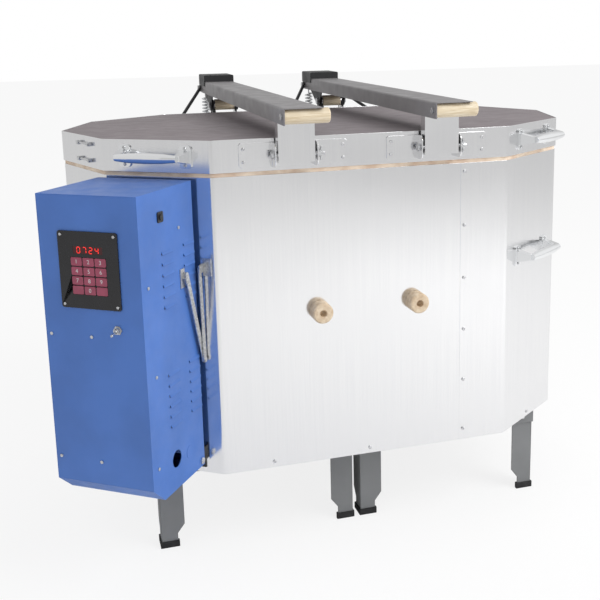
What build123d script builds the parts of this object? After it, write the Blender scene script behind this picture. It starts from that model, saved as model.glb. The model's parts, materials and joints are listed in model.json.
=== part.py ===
from build123d import *
import math
import os

# Top-loading electric kiln, oval plan, spring balanced lid and a tilting control box.
# Millimetres. The model is drawn with its plan centre over the floor point (0, 0, 0),
# X along the front, Y from front to back, Z up, and is moved to its box centre at the end.

# Body plan: a regular ten-sided ring stretched along X
ACROSS_FLATS = 750.0
STRETCH = 400.0
RING_SIDES = 10
CORNER_RADIUS = 18.0

# Body heights and walls
LEG_HEIGHT = 203.0
PAN_T = 1.5
FLOOR_SLAB_T = 63.5
COURSES = 5
BRICK_HEIGHT = 114.3
BRICK_T = 75.0
JACKET_T = 1.2
RIM_REVEAL = 7.5

# Brick grooves and heating elements
GROOVES_PER_COURSE = 2
GROOVE_HEIGHT = 12.0
GROOVE_DEPTH = 14.0
ELEMENT_T = 8.0
TAIL_RADIUS = 2.0
TAIL_SPACING = 40.0
TAIL_REACH = 20.0
BUSH_RADIUS = 5.0
BUSH_REACH = 9.0
BUSH_CLEARANCE = 0.2
TERMINAL_SIZE = 8.0
TERMINAL_LENGTH = 11.0
SERVICE_SLOT_W = 68.0
SERVICE_SLOT_MARGIN = 10.0

# Lid
LID_SLAB_T = 63.5
LID_GAP = 0.3
LID_OVERHANG = 2.0
LID_BAND_T = 1.0
LID_SHEET_T = 1.2
BAND_LIP = 1.0

# Peepholes
PEEP_X = 107.0
PEEP_RADIUS = 15.3
PLUG_CLEARANCE = 0.4
PLUG_TIP_RADIUS = 12.0
PLUG_HEAD_RADIUS = 22.0
PLUG_HEAD_LENGTH = 29.0
PLUG_BLIND_RADIUS = 7.5
PLUG_BLIND_DEPTH = 14.0
SEAT_GAP = 0.3

# Stands: two angle-iron frames side by side
STAND_OUTER_X = 455.0
STAND_HALF_Y = 275.0
STAND_SPLIT = 13.0
RAIL_SIZE = 32.0
RAIL_T = 3.0
LEG_WIDE = 52.0
LEG_NARROW = 36.0
LEG_T = 3.0
TAPER_TOP = 51.0
TAPER_BOTTOM = 30.0
CAP_WALL = 3.0
CAP_HEIGHT = 15.0

# Lid arms and hinge
ARM_X = 155.0
ARM_WIDTH = 80.0
ARM_T = 2.0
ARM_WEB = 33.0
ARM_TOP_OVER_PIVOT = 59.0
ARM_SLOPE = 1.0
ARM_FRONT = 870.0
ARM_TAIL = 155.0
ARM_BEND_RADIUS = 4.0
PIVOT_BEHIND_JACKET = 25.0
PIVOT_OVER_LID = 20.5
PIVOT_RADIUS = 5.0
RUNNING_CLEARANCE = 0.06
LID_OPEN_DEG = 80.0
CHEEK_T = 3.0
CHEEK_ROUND = 16.0
CHEEK_RISE_DEG = 30.0
CHEEK_FRONT = 40.0
EAR_T = 3.0
EAR_GAP = 2.0
LEAF_GAP = 1.2
ROLLER_RADIUS = 15.0
CAP_T = 2.0
CAP_OVER_ARM = 18.0
CAP_SIDE = 12.0
CAP_LENGTH = 92.0
SPRING_LEVER = 137.0
SPRING_PIN_OVER_PIVOT = 38.0
SPRING_PIN_RADIUS = 4.0
SPRING_OFFSET = -28.0
SPRING_LENGTH = 400.0
SPRING_OUTER = 12.0
SPRING_WIRE = 4.5
SPRING_HOOK = 26.0
STOP_BAR_RADIUS = 5.0
STOP_ALONG_CHEEK = 45.0

# Hinge posts at the back
POST_T = 4.0
POST_STANDOFF = 0.5
POST_OVER_LEGS = 22.0
EAR_FRONT = 8.0
POST_DEPTH = 50.0
EAR_OVER_PIVOT = 16.0
BRACE_RADIUS = 4.5
BRACE_EYE = 9.0
BRACE_EYE_T = 3.0
BRACE_SPREAD = 130.0
BRACE_FOOT_RISE = 10.0
POST_BOLT_UPS = (30.0, 230.0, 560.0)
ANCHOR_T = 4.0
ANCHOR_HALF_GAP = 8.0
ANCHOR_HEIGHT = 36.0
ANCHOR_NECK = 20.0
ANCHOR_BASE_OVERLAP = 4.0

# Front lid brackets, hangers and grips
BRACKET_W = 224.0
BRACKET_H = 50.0
BRACKET_T = 2.5
BRACKET_EAR_REACH = 30.0
HANGER_BOLT_REACH = 17.0
HANGER_BOLT_RADIUS = 4.0
HANGER_REACH = 29.0
HANGER_DEPTH = 22.0
HANGER_T = 2.0
HANGER_BELOW_BOLT = 15.0
HANGER_SIDE_GAP = 0.3
GRIP_RADIUS = 15.0
GRIP_OVERHANG = 14.0
GRIP_BEHIND_END = 17.0

# Pull handles
HANDLE_PITCH = 137.0
HANDLE_FOOT_W = 27.0
HANDLE_FOOT_H = 46.0
HANDLE_FOOT_T = 4.0
HANDLE_REACH = 38.0
GRIP_END_RADIUS = 7.0
GRIP_MID_RADIUS = 11.0
BODY_HANDLE_UP = 407.0

# Control box
BOX_W = 212.0
BOX_SHIFT = -24.0
BOX_GAP = 12.0
BOX_DEPTH = 206.0
BOX_OVER_LEGS = 25.0
BOX_HEIGHT = 600.0
BOX_CHAMFER_DEPTH = 40.0
BOX_CHAMFER_RISE = 36.0
BOX_T = 1.5
BOX_TILT_DEG = 40.0
BOX_PIVOT_OUT = 24.0
BOX_PIVOT_UP = 12.0
BOX_PIVOT_RADIUS = 4.0
CORD_HOLE_RADIUS = 17.5
CORD_HOLE_OUT = 125.0
CORD_HOLE_UP = 62.0
KNOCKOUT_OUT = 72.0
KNOCKOUT_UP = 54.0
KNOCKOUT_RADIUS = 14.0
LOUVRE_LENGTH = 42.0
LOUVRE_HEIGHT = 5.0
LOUVRE_PITCH = 21.0
LOUVRES_PER_BANK = 6
LOUVRE_HOOD = 3.0
LOUVRE_OUTS = (36.0, 120.0)
LOUVRE_BANK_UPS = (482.0, 242.0)
BACK_WINDOW_MARGIN = 16.0

# Keypad and switch
KEYPAD_W = 127.0
KEYPAD_H = 146.0
KEYPAD_T = 3.0
KEYPAD_UP = 460.0
DISPLAY_W = 62.0
DISPLAY_H = 14.0
DISPLAY_UP = 38.0
KEY_COLUMNS = 3
KEY_ROWS = 4
KEY_PITCH_X = 25.4
KEY_PITCH_Z = 18.0
KEY_GAP = 2.0
KEYS_UP = -11.0
KEY_PROUD = 0.5
KEY_SIDE_GAP = 0.3
KEY_FLOOR = 0.6
BOARD_OFFSET = 14.0
TOGGLE_RIGHT = 52.0
TOGGLE_UP = 350.0
TOGGLE_BUSH_RADIUS = 6.0
TOGGLE_BUSH_LENGTH = 8.0
TOGGLE_LENGTH = 18.0
TOGGLE_THROW_DEG = 30.0
TOGGLE_BALL_RADIUS = 3.2
FUSE_OUT = 140.0
FUSE_UP = 550.0
FUSE_SIZE = 20.0

# Folding stay of the control box
STAY_WALL_OUT = 14.0
STAY_WALL_UP = 422.0
STAY_BOX_OUT = 62.0
STAY_BOX_UP = 420.0
STAY_ELBOW_OUT = 8.0
STAY_ELBOW_UP = 229.0
STAY_W = 12.0
STAY_T = 2.0
STAY_GAP = 0.6
STAY_SIDE = 7.0
RIVET_RADIUS = 3.0
RIVET_HEAD_RADIUS = 5.0
RIVET_HEAD_T = 1.6

# Small screws
SCREW_RADIUS = 4.0
SCREW_HEAD_T = 2.0
SCREW_SIDES = 8

# Worked out from the sizes above
HALF_FLATS = ACROSS_FLATS / 2
HALF_TURN = 180.0 / RING_SIDES
SIDE_TURN = 360.0 / RING_SIDES
SIDE_LENGTH = ACROSS_FLATS * math.tan(math.radians(HALF_TURN))
FRONT_LENGTH = STRETCH + SIDE_LENGTH
SLAB_Z = LEG_HEIGHT + PAN_T
WALL_Z = SLAB_Z + FLOOR_SLAB_T
RIM_Z = WALL_Z + COURSES * BRICK_HEIGHT
JACKET_TOP = RIM_Z - RIM_REVEAL
LID_Z = RIM_Z + LID_GAP
LID_TOP = LID_Z + LID_SLAB_T + LID_SHEET_T
BAND_TOP = LID_TOP + BAND_LIP
BRICK_INNER = JACKET_T + BRICK_T
GROOVE_PITCH = BRICK_HEIGHT / GROOVES_PER_COURSE
FIRST_GROOVE = GROOVE_PITCH / 4
PEEP_Z = WALL_Z + 2 * BRICK_HEIGHT + FIRST_GROOVE + GROOVE_PITCH / 2
THIRD = FRONT_LENGTH / 3
PIVOT_Y = HALF_FLATS + PIVOT_BEHIND_JACKET
PIVOT_Z = LID_TOP + PIVOT_OVER_LID
FRONT_LID_Y = -HALF_FLATS - LID_OVERHANG
REAR_LID_Y = HALF_FLATS + LID_OVERHANG
BAND_MID_Z = (LID_Z + BAND_TOP) / 2
HANGER_BOLT_Y = FRONT_LID_Y - HANGER_BOLT_REACH
SLOPE_COS = math.cos(math.radians(ARM_SLOPE))
SLOPE_SIN = math.sin(math.radians(ARM_SLOPE))
SPRING_PIN_Y = PIVOT_Y + SPRING_LEVER * SLOPE_COS - SPRING_PIN_OVER_PIVOT * SLOPE_SIN
SPRING_PIN_Z = PIVOT_Z + SPRING_LEVER * SLOPE_SIN + SPRING_PIN_OVER_PIVOT * SLOPE_COS
SPRING_FOOT_Z = SPRING_PIN_Z - SPRING_LENGTH
WEB_INSIDE = ARM_WIDTH / 2 - ARM_T
CHEEK_INSIDE = WEB_INSIDE - CHEEK_T
EAR_OUTSIDE = CHEEK_INSIDE - EAR_GAP
EAR_INSIDE = EAR_OUTSIDE - EAR_T
LEAF_OUTSIDE = EAR_INSIDE - LEAF_GAP
LEAF_INSIDE = LEAF_OUTSIDE - BRACKET_T
ROLLER_HALF = LEAF_INSIDE - SEAT_GAP
BODY_HANDLE_Z = LEG_HEIGHT + BODY_HANDLE_UP
POST_BOTTOM = LEG_HEIGHT + POST_OVER_LEGS
BOX_BOTTOM = LEG_HEIGHT + BOX_OVER_LEGS
BOX_TOP = BOX_BOTTOM + BOX_HEIGHT
KEYPAD_Z = BOX_BOTTOM + KEYPAD_UP
TOGGLE_Z = BOX_BOTTOM + TOGGLE_UP
FUSE_Z = BOX_BOTTOM + FUSE_UP
STAY_WALL_Z = BOX_BOTTOM + STAY_WALL_UP
STAY_BOX_Z = BOX_BOTTOM + STAY_BOX_UP
STAY_ELBOW_Z = BOX_BOTTOM + STAY_ELBOW_UP
BOX_LEFT = BOX_SHIFT - BOX_W / 2
BOX_RIGHT = BOX_SHIFT + BOX_W / 2
BOX_BACK_Y = -BOX_GAP
BOX_FRONT_Y = -BOX_GAP - BOX_DEPTH
BOX_PIVOT_Y = -BOX_PIVOT_OUT
BOX_PIVOT_Z = BOX_BOTTOM + BOX_PIVOT_UP


def block(x0, x1, y0, y1, z0, z1):
    """A plain box from its two corners."""
    middle = Pos((x0 + x1) / 2, (y0 + y1) / 2, (z0 + z1) / 2)
    return middle * Box(x1 - x0, y1 - y0, z1 - z0)


def rod_x(radius, x0, x1, y, z):
    """A round bar along X."""
    return Pos((x0 + x1) / 2, y, z) * Rot(0, 90, 0) * Cylinder(radius, x1 - x0)


def rod_y(radius, x, y0, y1, z):
    """A round bar along Y."""
    return Pos(x, (y0 + y1) / 2, z) * Rot(90, 0, 0) * Cylinder(radius, y1 - y0)


def rod_between(radius, start, end):
    """A round bar between two points."""
    axis = Vector(*end) - Vector(*start)
    return Solid.extrude(
        Face(Wire(Edge.make_circle(radius, Plane(origin=start, z_dir=axis)))), axis)


def plate_yz(points, x0, x1):
    """A flat plate whose outline is given in Y and Z, from x0 to x1."""
    outline = Plane.YZ.offset(x0) * make_face(Polyline(*points, close=True))
    return extrude(outline, x1 - x0)


def prism_head(radius, height, sides=SCREW_SIDES):
    """A low screw or bolt head that stands on z = 0."""
    return extrude(RegularPolygon(radius, sides), height)


def screw_on_wall(x, y, z, radius=SCREW_RADIUS, height=SCREW_HEAD_T, sides=SCREW_SIDES):
    """A screw head that stands out along -Y from the wall at y."""
    return Pos(x, y, z) * Rot(90, 0, 0) * prism_head(radius, height, sides)


def plan(inset, sharp=False):
    """The stretched ten-sided outline, moved in from the jacket's outer face."""
    radius = (HALF_FLATS - inset) / math.cos(math.radians(HALF_TURN))
    points = []
    for end, first in ((-1, 180 - 2 * SIDE_TURN), (1, -2 * SIDE_TURN)):
        for step in range(RING_SIDES // 2):
            angle = math.radians(first + step * SIDE_TURN)
            points.append((end * STRETCH / 2 + radius * math.cos(angle), radius * math.sin(angle)))
    outline = Polygon(*points, align=None)
    corner = CORNER_RADIUS - inset
    if sharp or corner <= 0:
        return outline
    return fillet(outline.vertices(), corner)


def ring(outer, inner, z0, z1, sharp=False):
    """A wall between two insets of the plan."""
    return Pos(0, 0, z0) * extrude(plan(outer, sharp) - plan(inner, sharp), z1 - z0)


def face_place(normal_deg, end):
    """The middle of one outer face at floor level: X to the right, -Y outwards."""
    angle = math.radians(normal_deg)
    x = end * STRETCH / 2 + HALF_FLATS * math.cos(angle)
    return Pos(x, HALF_FLATS * math.sin(angle), 0) * Rot(0, 0, normal_deg + 90)


FRONT = face_place(-90, 0)
FRONT_LEFT = face_place(-90 - SIDE_TURN, -1)
FRONT_RIGHT = face_place(-90 + SIDE_TURN, 1)
FAR_LEFT = face_place(-90 - 2 * SIDE_TURN, -1)
END_FACES = [(-90 - step * SIDE_TURN, -1) for step in range(1, 5)]
END_FACES += [(-90 + step * SIDE_TURN, 1) for step in range(1, 5)]


# Body

def make_base_pan():
    return Pos(0, 0, LEG_HEIGHT) * extrude(plan(JACKET_T), PAN_T)


def make_floor_slab():
    return Pos(0, 0, SLAB_Z) * extrude(plan(JACKET_T), FLOOR_SLAB_T)


def groove_heights():
    """Height of each groove's floor above the foot of its course."""
    first = FIRST_GROOVE - GROOVE_HEIGHT / 2
    return [first + step * GROOVE_PITCH for step in range(GROOVES_PER_COURSE)]


def grooved_course():
    """One course of the wall at z = 0, still in one piece."""
    course = ring(JACKET_T, BRICK_INNER, 0, BRICK_HEIGHT)
    depth = BRICK_INNER - GROOVE_DEPTH
    for height in groove_heights():
        course -= ring(depth, BRICK_INNER + 1, height, height + GROOVE_HEIGHT, sharp=True)
        for side in (-1, 1):
            x = side * TAIL_SPACING / 2
            z = height + GROOVE_HEIGHT / 2
            hole = rod_y(BUSH_RADIUS + BUSH_CLEARANCE, x, -1, BRICK_INNER, z)
            course -= FRONT_LEFT * hole
    return course


def end_sector(normal_deg, end):
    """The wedge of plan that one end brick fills."""
    centre = (end * STRETCH / 2, 0)
    points = [centre]
    for turn in (-HALF_TURN, HALF_TURN):
        angle = math.radians(normal_deg + turn)
        reach = ACROSS_FLATS
        points.append((centre[0] + reach * math.cos(angle), centre[1] + reach * math.sin(angle)))
    return extrude(make_face(Polyline(*points, close=True)), BRICK_HEIGHT)


def long_side_sector(x0, x1, side, mitre_left, mitre_right):
    """The plan between two joints of the front or back wall, mitred where it ends the wall."""
    reach = ACROSS_FLATS
    spread = reach * math.tan(math.radians(HALF_TURN))
    points = [
        (-STRETCH / 2 if mitre_left else x0, 0),
        (STRETCH / 2 if mitre_right else x1, 0),
        (STRETCH / 2 + spread if mitre_right else x1, side * reach),
        (-STRETCH / 2 - spread if mitre_left else x0, side * reach),
    ]
    return extrude(make_face(Polyline(*points, close=True)), BRICK_HEIGHT)


def split_course(course, joints):
    """Cut a course into its bricks: mitred ends, and long walls cut at the given joints."""
    bricks = [course & end_sector(*face) for face in END_FACES]
    edges = [-FRONT_LENGTH / 2] + joints + [FRONT_LENGTH / 2]
    for side in (-1, 1):
        for left, right in zip(edges, edges[1:]):
            sector = long_side_sector(
                left, right, side, left == edges[0], right == edges[-1])
            bricks.append(course & sector)
    return bricks


def make_courses():
    """The five courses, laid in running bond along the front and back."""
    course = grooved_course()
    odd = split_course(course, [-THIRD, 0.0, THIRD])
    even = split_course(course, [-THIRD / 2, THIRD / 2])
    courses = {}
    for level in range(COURSES):
        place = Pos(0, 0, WALL_Z + level * BRICK_HEIGHT)
        bricks = [place * brick for brick in (odd if level % 2 == 0 else even)]
        if level == COURSES // 2:
            cut = peephole_bores() + thermocouple_bore()
            bricks = [brick - cut for brick in bricks]
        courses["brick_course_%d" % (level + 1)] = bricks
    return courses


def peephole_bores():
    bores = [rod_y(PEEP_RADIUS, side * PEEP_X, -HALF_FLATS - 5, -HALF_FLATS + 2 * BRICK_T, PEEP_Z)
             for side in (-1, 1)]
    return bores[0] + bores[1]


def thermocouple_bore():
    return FRONT_LEFT * rod_y(THERMO_RADIUS + BUSH_CLEARANCE, 0, -5, BRICK_INNER + 5, PEEP_Z)


THERMO_RADIUS = 3.5
THERMO_INSIDE = 25.0
THERMO_BLOCK = (26.0, 18.0, 16.0)


def make_thermocouple():
    tube = rod_y(THERMO_RADIUS, 0, -SEAT_GAP, BRICK_INNER + THERMO_INSIDE, PEEP_Z)
    width, depth, height = THERMO_BLOCK
    head = block(-width / 2, width / 2, -SEAT_GAP - depth, JACKET_T,
                 PEEP_Z - height / 2, PEEP_Z + height / 2)
    return FRONT_LEFT * (tube + head)


def make_elements():
    """One heating element per groove: a ring broken at the front-left face, with two tails."""
    mid_inset = BRICK_INNER - GROOVE_DEPTH / 2
    elements = []
    for level in range(COURSES):
        for height in groove_heights():
            z0 = WALL_Z + level * BRICK_HEIGHT + height
            z1 = z0 + ELEMENT_T
            hoop = ring(mid_inset - ELEMENT_T / 2, mid_inset + ELEMENT_T / 2, z0, z1, sharp=True)
            gap = TAIL_SPACING / 2 - ELEMENT_T / 2
            hoop -= FRONT_LEFT * block(-gap, gap, 0, 2 * BRICK_T, z0 - 1, z1 + 1)
            middle = z0 + GROOVE_HEIGHT / 2
            for side in (-1, 1):
                x = side * TAIL_SPACING / 2
                hoop += FRONT_LEFT * rod_y(TAIL_RADIUS, x, -TAIL_REACH, mid_inset, middle)
            elements.append(hoop)
    return elements


def tail_places():
    """X and Z of every element tail on the front-left face."""
    return [(side * TAIL_SPACING / 2,
             WALL_Z + level * BRICK_HEIGHT + height + GROOVE_HEIGHT / 2)
            for level in range(COURSES) for height in groove_heights() for side in (-1, 1)]


def make_bushes():
    """Ceramic tubes that carry the tails through the wall."""
    bushes = []
    for x, z in tail_places():
        tube = rod_y(BUSH_RADIUS, x, -BUSH_REACH, BRICK_INNER - GROOVE_DEPTH, z)
        tube -= rod_y(TAIL_RADIUS + BUSH_CLEARANCE, x, -BUSH_REACH - 1, BRICK_INNER, z)
        bushes.append(FRONT_LEFT * tube)
    return bushes


def make_terminals():
    """Brass clamps on the ends of the tails."""
    half = TERMINAL_SIZE / 2
    clamps = []
    for x, z in tail_places():
        clamp = block(x - half, x + half, -BUSH_REACH - TERMINAL_LENGTH, -BUSH_REACH,
                      z - half, z + half)
        clamp -= rod_y(TAIL_RADIUS, x, -BUSH_REACH - TERMINAL_LENGTH - 1, 0, z)
        clamps.append(FRONT_LEFT * clamp)
    return clamps


SEAM_X = 212.0
SEAM_W = 26.0
SEAM_T = 0.6
SEAM_SCREW_X = 221.0
SEAM_SCREWS = 6
SCREW_FROM_TOP = 18.0
SCREW_FROM_BOTTOM = 13.0


def make_jacket():
    """Stainless wrap with its overlapped seam, peepholes and the service slot behind the box."""
    wrap = ring(0, JACKET_T, LEG_HEIGHT, JACKET_TOP)
    half = SERVICE_SLOT_W / 2
    wrap -= FRONT_LEFT * block(-half, half, -5, 5, WALL_Z - SERVICE_SLOT_MARGIN,
                               JACKET_TOP - SERVICE_SLOT_MARGIN)
    wrap -= peephole_bores()
    seam = block(SEAM_X, SEAM_X + SEAM_W, -HALF_FLATS - SEAM_T, -HALF_FLATS,
                 LEG_HEIGHT, JACKET_TOP)
    return wrap + seam


def make_jacket_screws():
    screws = []
    span = JACKET_TOP - SCREW_FROM_TOP - LEG_HEIGHT - 2 * SCREW_FROM_BOTTOM
    for step in range(SEAM_SCREWS):
        z = LEG_HEIGHT + 2 * SCREW_FROM_BOTTOM + span * step / (SEAM_SCREWS - 1)
        screws.append(FRONT * screw_on_wall(SEAM_SCREW_X, -SEAM_T, z))
    low = LEG_HEIGHT + SCREW_FROM_BOTTOM
    for x in (-THIRD, 0.0):
        screws.append(FRONT * screw_on_wall(x, 0, low))
    for x in (-THIRD, 0.0, THIRD):
        screws.append(face_place(90, 0) * screw_on_wall(x, 0, low - 2))
    for face in END_FACES:
        screws.append(face_place(*face) * screw_on_wall(0, 0, low - 2))
    return screws


# Stands

def stand_spans():
    inner = STAND_SPLIT / 2
    return {"left": (-STAND_OUTER_X, -inner), "right": (inner, STAND_OUTER_X)}


def leg_flange(outer_depth):
    """One tapered flange of a leg in X and Z, fold at x = 0."""
    foot = CAP_WALL
    points = [(0, foot), (LEG_NARROW, foot), (LEG_NARROW, TAPER_BOTTOM),
              (LEG_WIDE, TAPER_TOP), (LEG_WIDE, LEG_HEIGHT - RAIL_T), (0, LEG_HEIGHT - RAIL_T)]
    outline = Plane.XZ * make_face(Polyline(*points, close=True))
    return extrude(outline, -outer_depth)


def make_leg():
    """A tapered sheet angle whose fold stands on the Z axis, flanges along +X and +Y."""
    front = leg_flange(LEG_T)
    side = mirror(leg_flange(LEG_T), about=Plane.XZ)
    side = Rot(0, 0, 90) * side
    return front + side


def make_stand(span):
    """Mitred angle rails welded into a frame, and four legs bolted inside its corners."""
    x0, x1 = span
    y0, y1 = -STAND_HALF_Y, STAND_HALF_Y
    z1 = LEG_HEIGHT
    outer = block(x0, x1, y0, y1, z1 - RAIL_SIZE, z1)
    skirt = outer - block(x0 + RAIL_T, x1 - RAIL_T, y0 + RAIL_T, y1 - RAIL_T,
                          z1 - RAIL_SIZE - 1, z1 - RAIL_T)
    frame = skirt - block(x0 + RAIL_SIZE, x1 - RAIL_SIZE, y0 + RAIL_SIZE, y1 - RAIL_SIZE,
                          z1 - RAIL_SIZE - 1, z1 + 1)
    return [frame] + [place_at_corner(make_leg(), span, sx, sy) for sx, sy in CORNERS]


CORNERS = [(-1, -1), (1, -1), (-1, 1), (1, 1)]


def place_at_corner(piece, span, sx, sy):
    """Put a piece drawn for the low-x, low-y corner into any corner of a stand."""
    if sx > 0:
        piece = mirror(piece, about=Plane.YZ)
    if sy > 0:
        piece = mirror(piece, about=Plane.XZ)
    x = span[0] + RAIL_T if sx < 0 else span[1] - RAIL_T
    y = sy * (STAND_HALF_Y - RAIL_T)
    return Pos(x, y, 0) * piece


def make_cap():
    """A rubber boot that a leg's narrow end stands in."""
    wide = LEG_NARROW + CAP_WALL
    deep = LEG_T + CAP_WALL
    boot = block(-CAP_WALL, wide, -CAP_WALL, deep, 0, CAP_HEIGHT)
    boot += block(-CAP_WALL, deep, -CAP_WALL, wide, 0, CAP_HEIGHT)
    return boot - make_leg()


def make_caps():
    return [place_at_corner(make_cap(), span, sx, sy)
            for span in stand_spans().values() for sx, sy in CORNERS]


def make_stand_bolts():
    """Hexagon heads through the rails into the legs, two on each leg."""
    bolts = []
    z = LEG_HEIGHT - RAIL_SIZE / 2
    inset = LEG_WIDE / 2
    for x0, x1 in stand_spans().values():
        for x in (x0 + RAIL_T + inset, x1 - RAIL_T - inset):
            bolts.append(Pos(x, -STAND_HALF_Y, z) * Rot(90, 0, 0) * prism_head(5, 3, 6))
            bolts.append(Pos(x, STAND_HALF_Y, z) * Rot(-90, 0, 0) * prism_head(5, 3, 6))
    return bolts


# Lid

def make_lid_slab():
    return Pos(0, 0, LID_Z) * extrude(plan(-LID_OVERHANG + LID_BAND_T), LID_SLAB_T)


def make_lid_sheet():
    return Pos(0, 0, LID_Z + LID_SLAB_T) * extrude(plan(-LID_OVERHANG + LID_BAND_T), LID_SHEET_T)


def make_lid_band():
    return ring(-LID_OVERHANG, -LID_OVERHANG + LID_BAND_T, LID_Z + SEAT_GAP, BAND_TOP)


def lid_face(place):
    """A body face's place moved out to the lid band."""
    return place * Pos(0, -LID_OVERHANG, 0)


CLAMP_LENGTH = 61.0
CLAMP_LUG = 8.0
CLAMP_RISES = (-17.0, 17.0)


def make_band_clamps():
    """Two draw screws that tighten the lid band, each between a pair of lugs."""
    clamps = []
    for rise in CLAMP_RISES:
        z = BAND_MID_Z + rise
        body = block(-CLAMP_LUG, CLAMP_LUG / 2, -CLAMP_LUG, 0, z - CLAMP_LUG / 2, z + CLAMP_LUG / 2)
        body += block(CLAMP_LENGTH - CLAMP_LUG, CLAMP_LENGTH, -CLAMP_LUG, 0,
                      z - CLAMP_LUG / 2, z + CLAMP_LUG / 2)
        body += rod_x(2.5, 0, CLAMP_LENGTH + 4, -CLAMP_LUG / 2, z)
        clamps.append(lid_face(FAR_LEFT) * body)
    return clamps


def make_handle(place, z):
    """A cast pull: two footed stems and a bulged grip between them."""
    half = HANDLE_PITCH / 2
    profile = [(-half, 0), (-half, GRIP_END_RADIUS), (-half * 0.55, GRIP_MID_RADIUS * 0.9),
               (0, GRIP_MID_RADIUS), (half * 0.55, GRIP_MID_RADIUS * 0.9),
               (half, GRIP_END_RADIUS), (half, 0)]
    grip = revolve(make_face(Polyline(*profile, close=True)), Axis.X)
    handle = Pos(0, -HANDLE_REACH, z) * grip
    for side in (-1, 1):
        x = side * half
        foot = Plane.XZ * Pos(x, z, 0) * RectangleRounded(HANDLE_FOOT_W, HANDLE_FOOT_H, 8)
        foot = extrude(foot, HANDLE_FOOT_T)
        stem = loft([
            Plane.XZ.offset(HANDLE_FOOT_T) * Pos(x, z, 0) * Rectangle(HANDLE_FOOT_W - 6, 26),
            Plane.XZ.offset(HANDLE_REACH) * Pos(x, z, 0) * Rectangle(12, 12)])
        handle += foot + stem
    return place * handle


def make_lid_handles():
    return [make_handle(lid_face(place), BAND_MID_Z) for place in (FRONT_LEFT, FRONT_RIGHT)]


def make_body_handle():
    return make_handle(FRONT_RIGHT, BODY_HANDLE_Z)


# Lid arms: drawn level with the hinge pivot at the origin, then sloped

ARM_NAMES = {"left": -ARM_X, "right": ARM_X}


def arm_place(x):
    return Pos(x, PIVOT_Y, PIVOT_Z) * Rot(ARM_SLOPE, 0, 0)


def arm_point(y, z):
    """Height and depth of an arm point once the arm is sloped."""
    return (PIVOT_Y + y * SLOPE_COS - z * SLOPE_SIN, PIVOT_Z + y * SLOPE_SIN + z * SLOPE_COS)


def make_arm(x):
    """Inverted channel with a front edge cut back on the side where the grip stands out."""
    half = ARM_WIDTH / 2
    low = ARM_TOP_OVER_PIVOT - ARM_WEB
    section = Pos(0, ARM_TOP_OVER_PIVOT - ARM_WEB / 2) * Rectangle(ARM_WIDTH, ARM_WEB)
    top_corners = section.vertices().sort_by(Axis.Y)[-2:]
    section = fillet(top_corners, ARM_BEND_RADIUS)
    inside = Pos(0, low + (ARM_WEB - ARM_T) / 2 - 1) * Rectangle(ARM_WIDTH - 2 * ARM_T,
                                                               ARM_WEB - ARM_T + 2)
    channel = extrude(Plane.XZ * (section - inside), ARM_FRONT + ARM_TAIL)
    channel = Pos(0, ARM_TAIL, 0) * channel
    cut_back = GRIP_BEHIND_END + GRIP_RADIUS + 2
    channel -= block(half - ARM_T - 1, half + 1, -ARM_FRONT - 1, -ARM_FRONT + cut_back,
                     low - 1, ARM_TOP_OVER_PIVOT - ARM_T)
    hole = rod_x(SPRING_PIN_RADIUS, -ARM_WIDTH, ARM_WIDTH, SPRING_LEVER, SPRING_PIN_OVER_PIVOT)
    return arm_place(x) * (channel - hole)


def grip_centre():
    """Depth and height of a grip's axis in the arm's own frame."""
    return -ARM_FRONT + GRIP_BEHIND_END, ARM_TOP_OVER_PIVOT - ARM_T - GRIP_RADIUS


def make_grips():
    """Turned grips across the arms' front ends, with a bevel on the open end."""
    y, z = grip_centre()
    half = ARM_WIDTH / 2
    grips = []
    for x in ARM_NAMES.values():
        grip = rod_x(GRIP_RADIUS, -half + ARM_T, half + GRIP_OVERHANG, y, z)
        grip = chamfer(grip.edges().sort_by(Axis.X)[-1], 2)
        grips.append(arm_place(x) * grip)
    return grips


def cheek_outline():
    """Side view of a cheek: a round eye at the pivot that widens up to the arm."""
    rise = math.radians(CHEEK_RISE_DEG)
    tangent = (CHEEK_ROUND * math.sin(rise), -CHEEK_ROUND * math.cos(rise))
    top = ARM_TOP_OVER_PIVOT - ARM_BEND_RADIUS
    low = ARM_TOP_OVER_PIVOT - ARM_WEB
    run = (low - tangent[1]) / math.tan(rise)
    eye = Circle(CHEEK_ROUND)
    points = [(-CHEEK_ROUND, 0), tangent, (tangent[0] + run, low), (ARM_TAIL, low),
              (ARM_TAIL, top), (-CHEEK_FRONT, top), (-CHEEK_FRONT, low + 4)]
    return eye + make_face(Polyline(*points, close=True))


def make_cheeks():
    """Black side plates inside the tail that carry the arms on their pivots."""
    holes = (rod_x(PIVOT_RADIUS + RUNNING_CLEARANCE, -ARM_WIDTH, ARM_WIDTH, 0, 0)
             + rod_x(SPRING_PIN_RADIUS, -ARM_WIDTH, ARM_WIDTH, SPRING_LEVER,
                     SPRING_PIN_OVER_PIVOT))
    cheeks = []
    for x in ARM_NAMES.values():
        for inner in (-WEB_INSIDE, CHEEK_INSIDE):
            plate = extrude(Plane.YZ.offset(inner) * cheek_outline(), CHEEK_T)
            cheeks.append(arm_place(x) * (plate - holes))
    return cheeks


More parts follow.
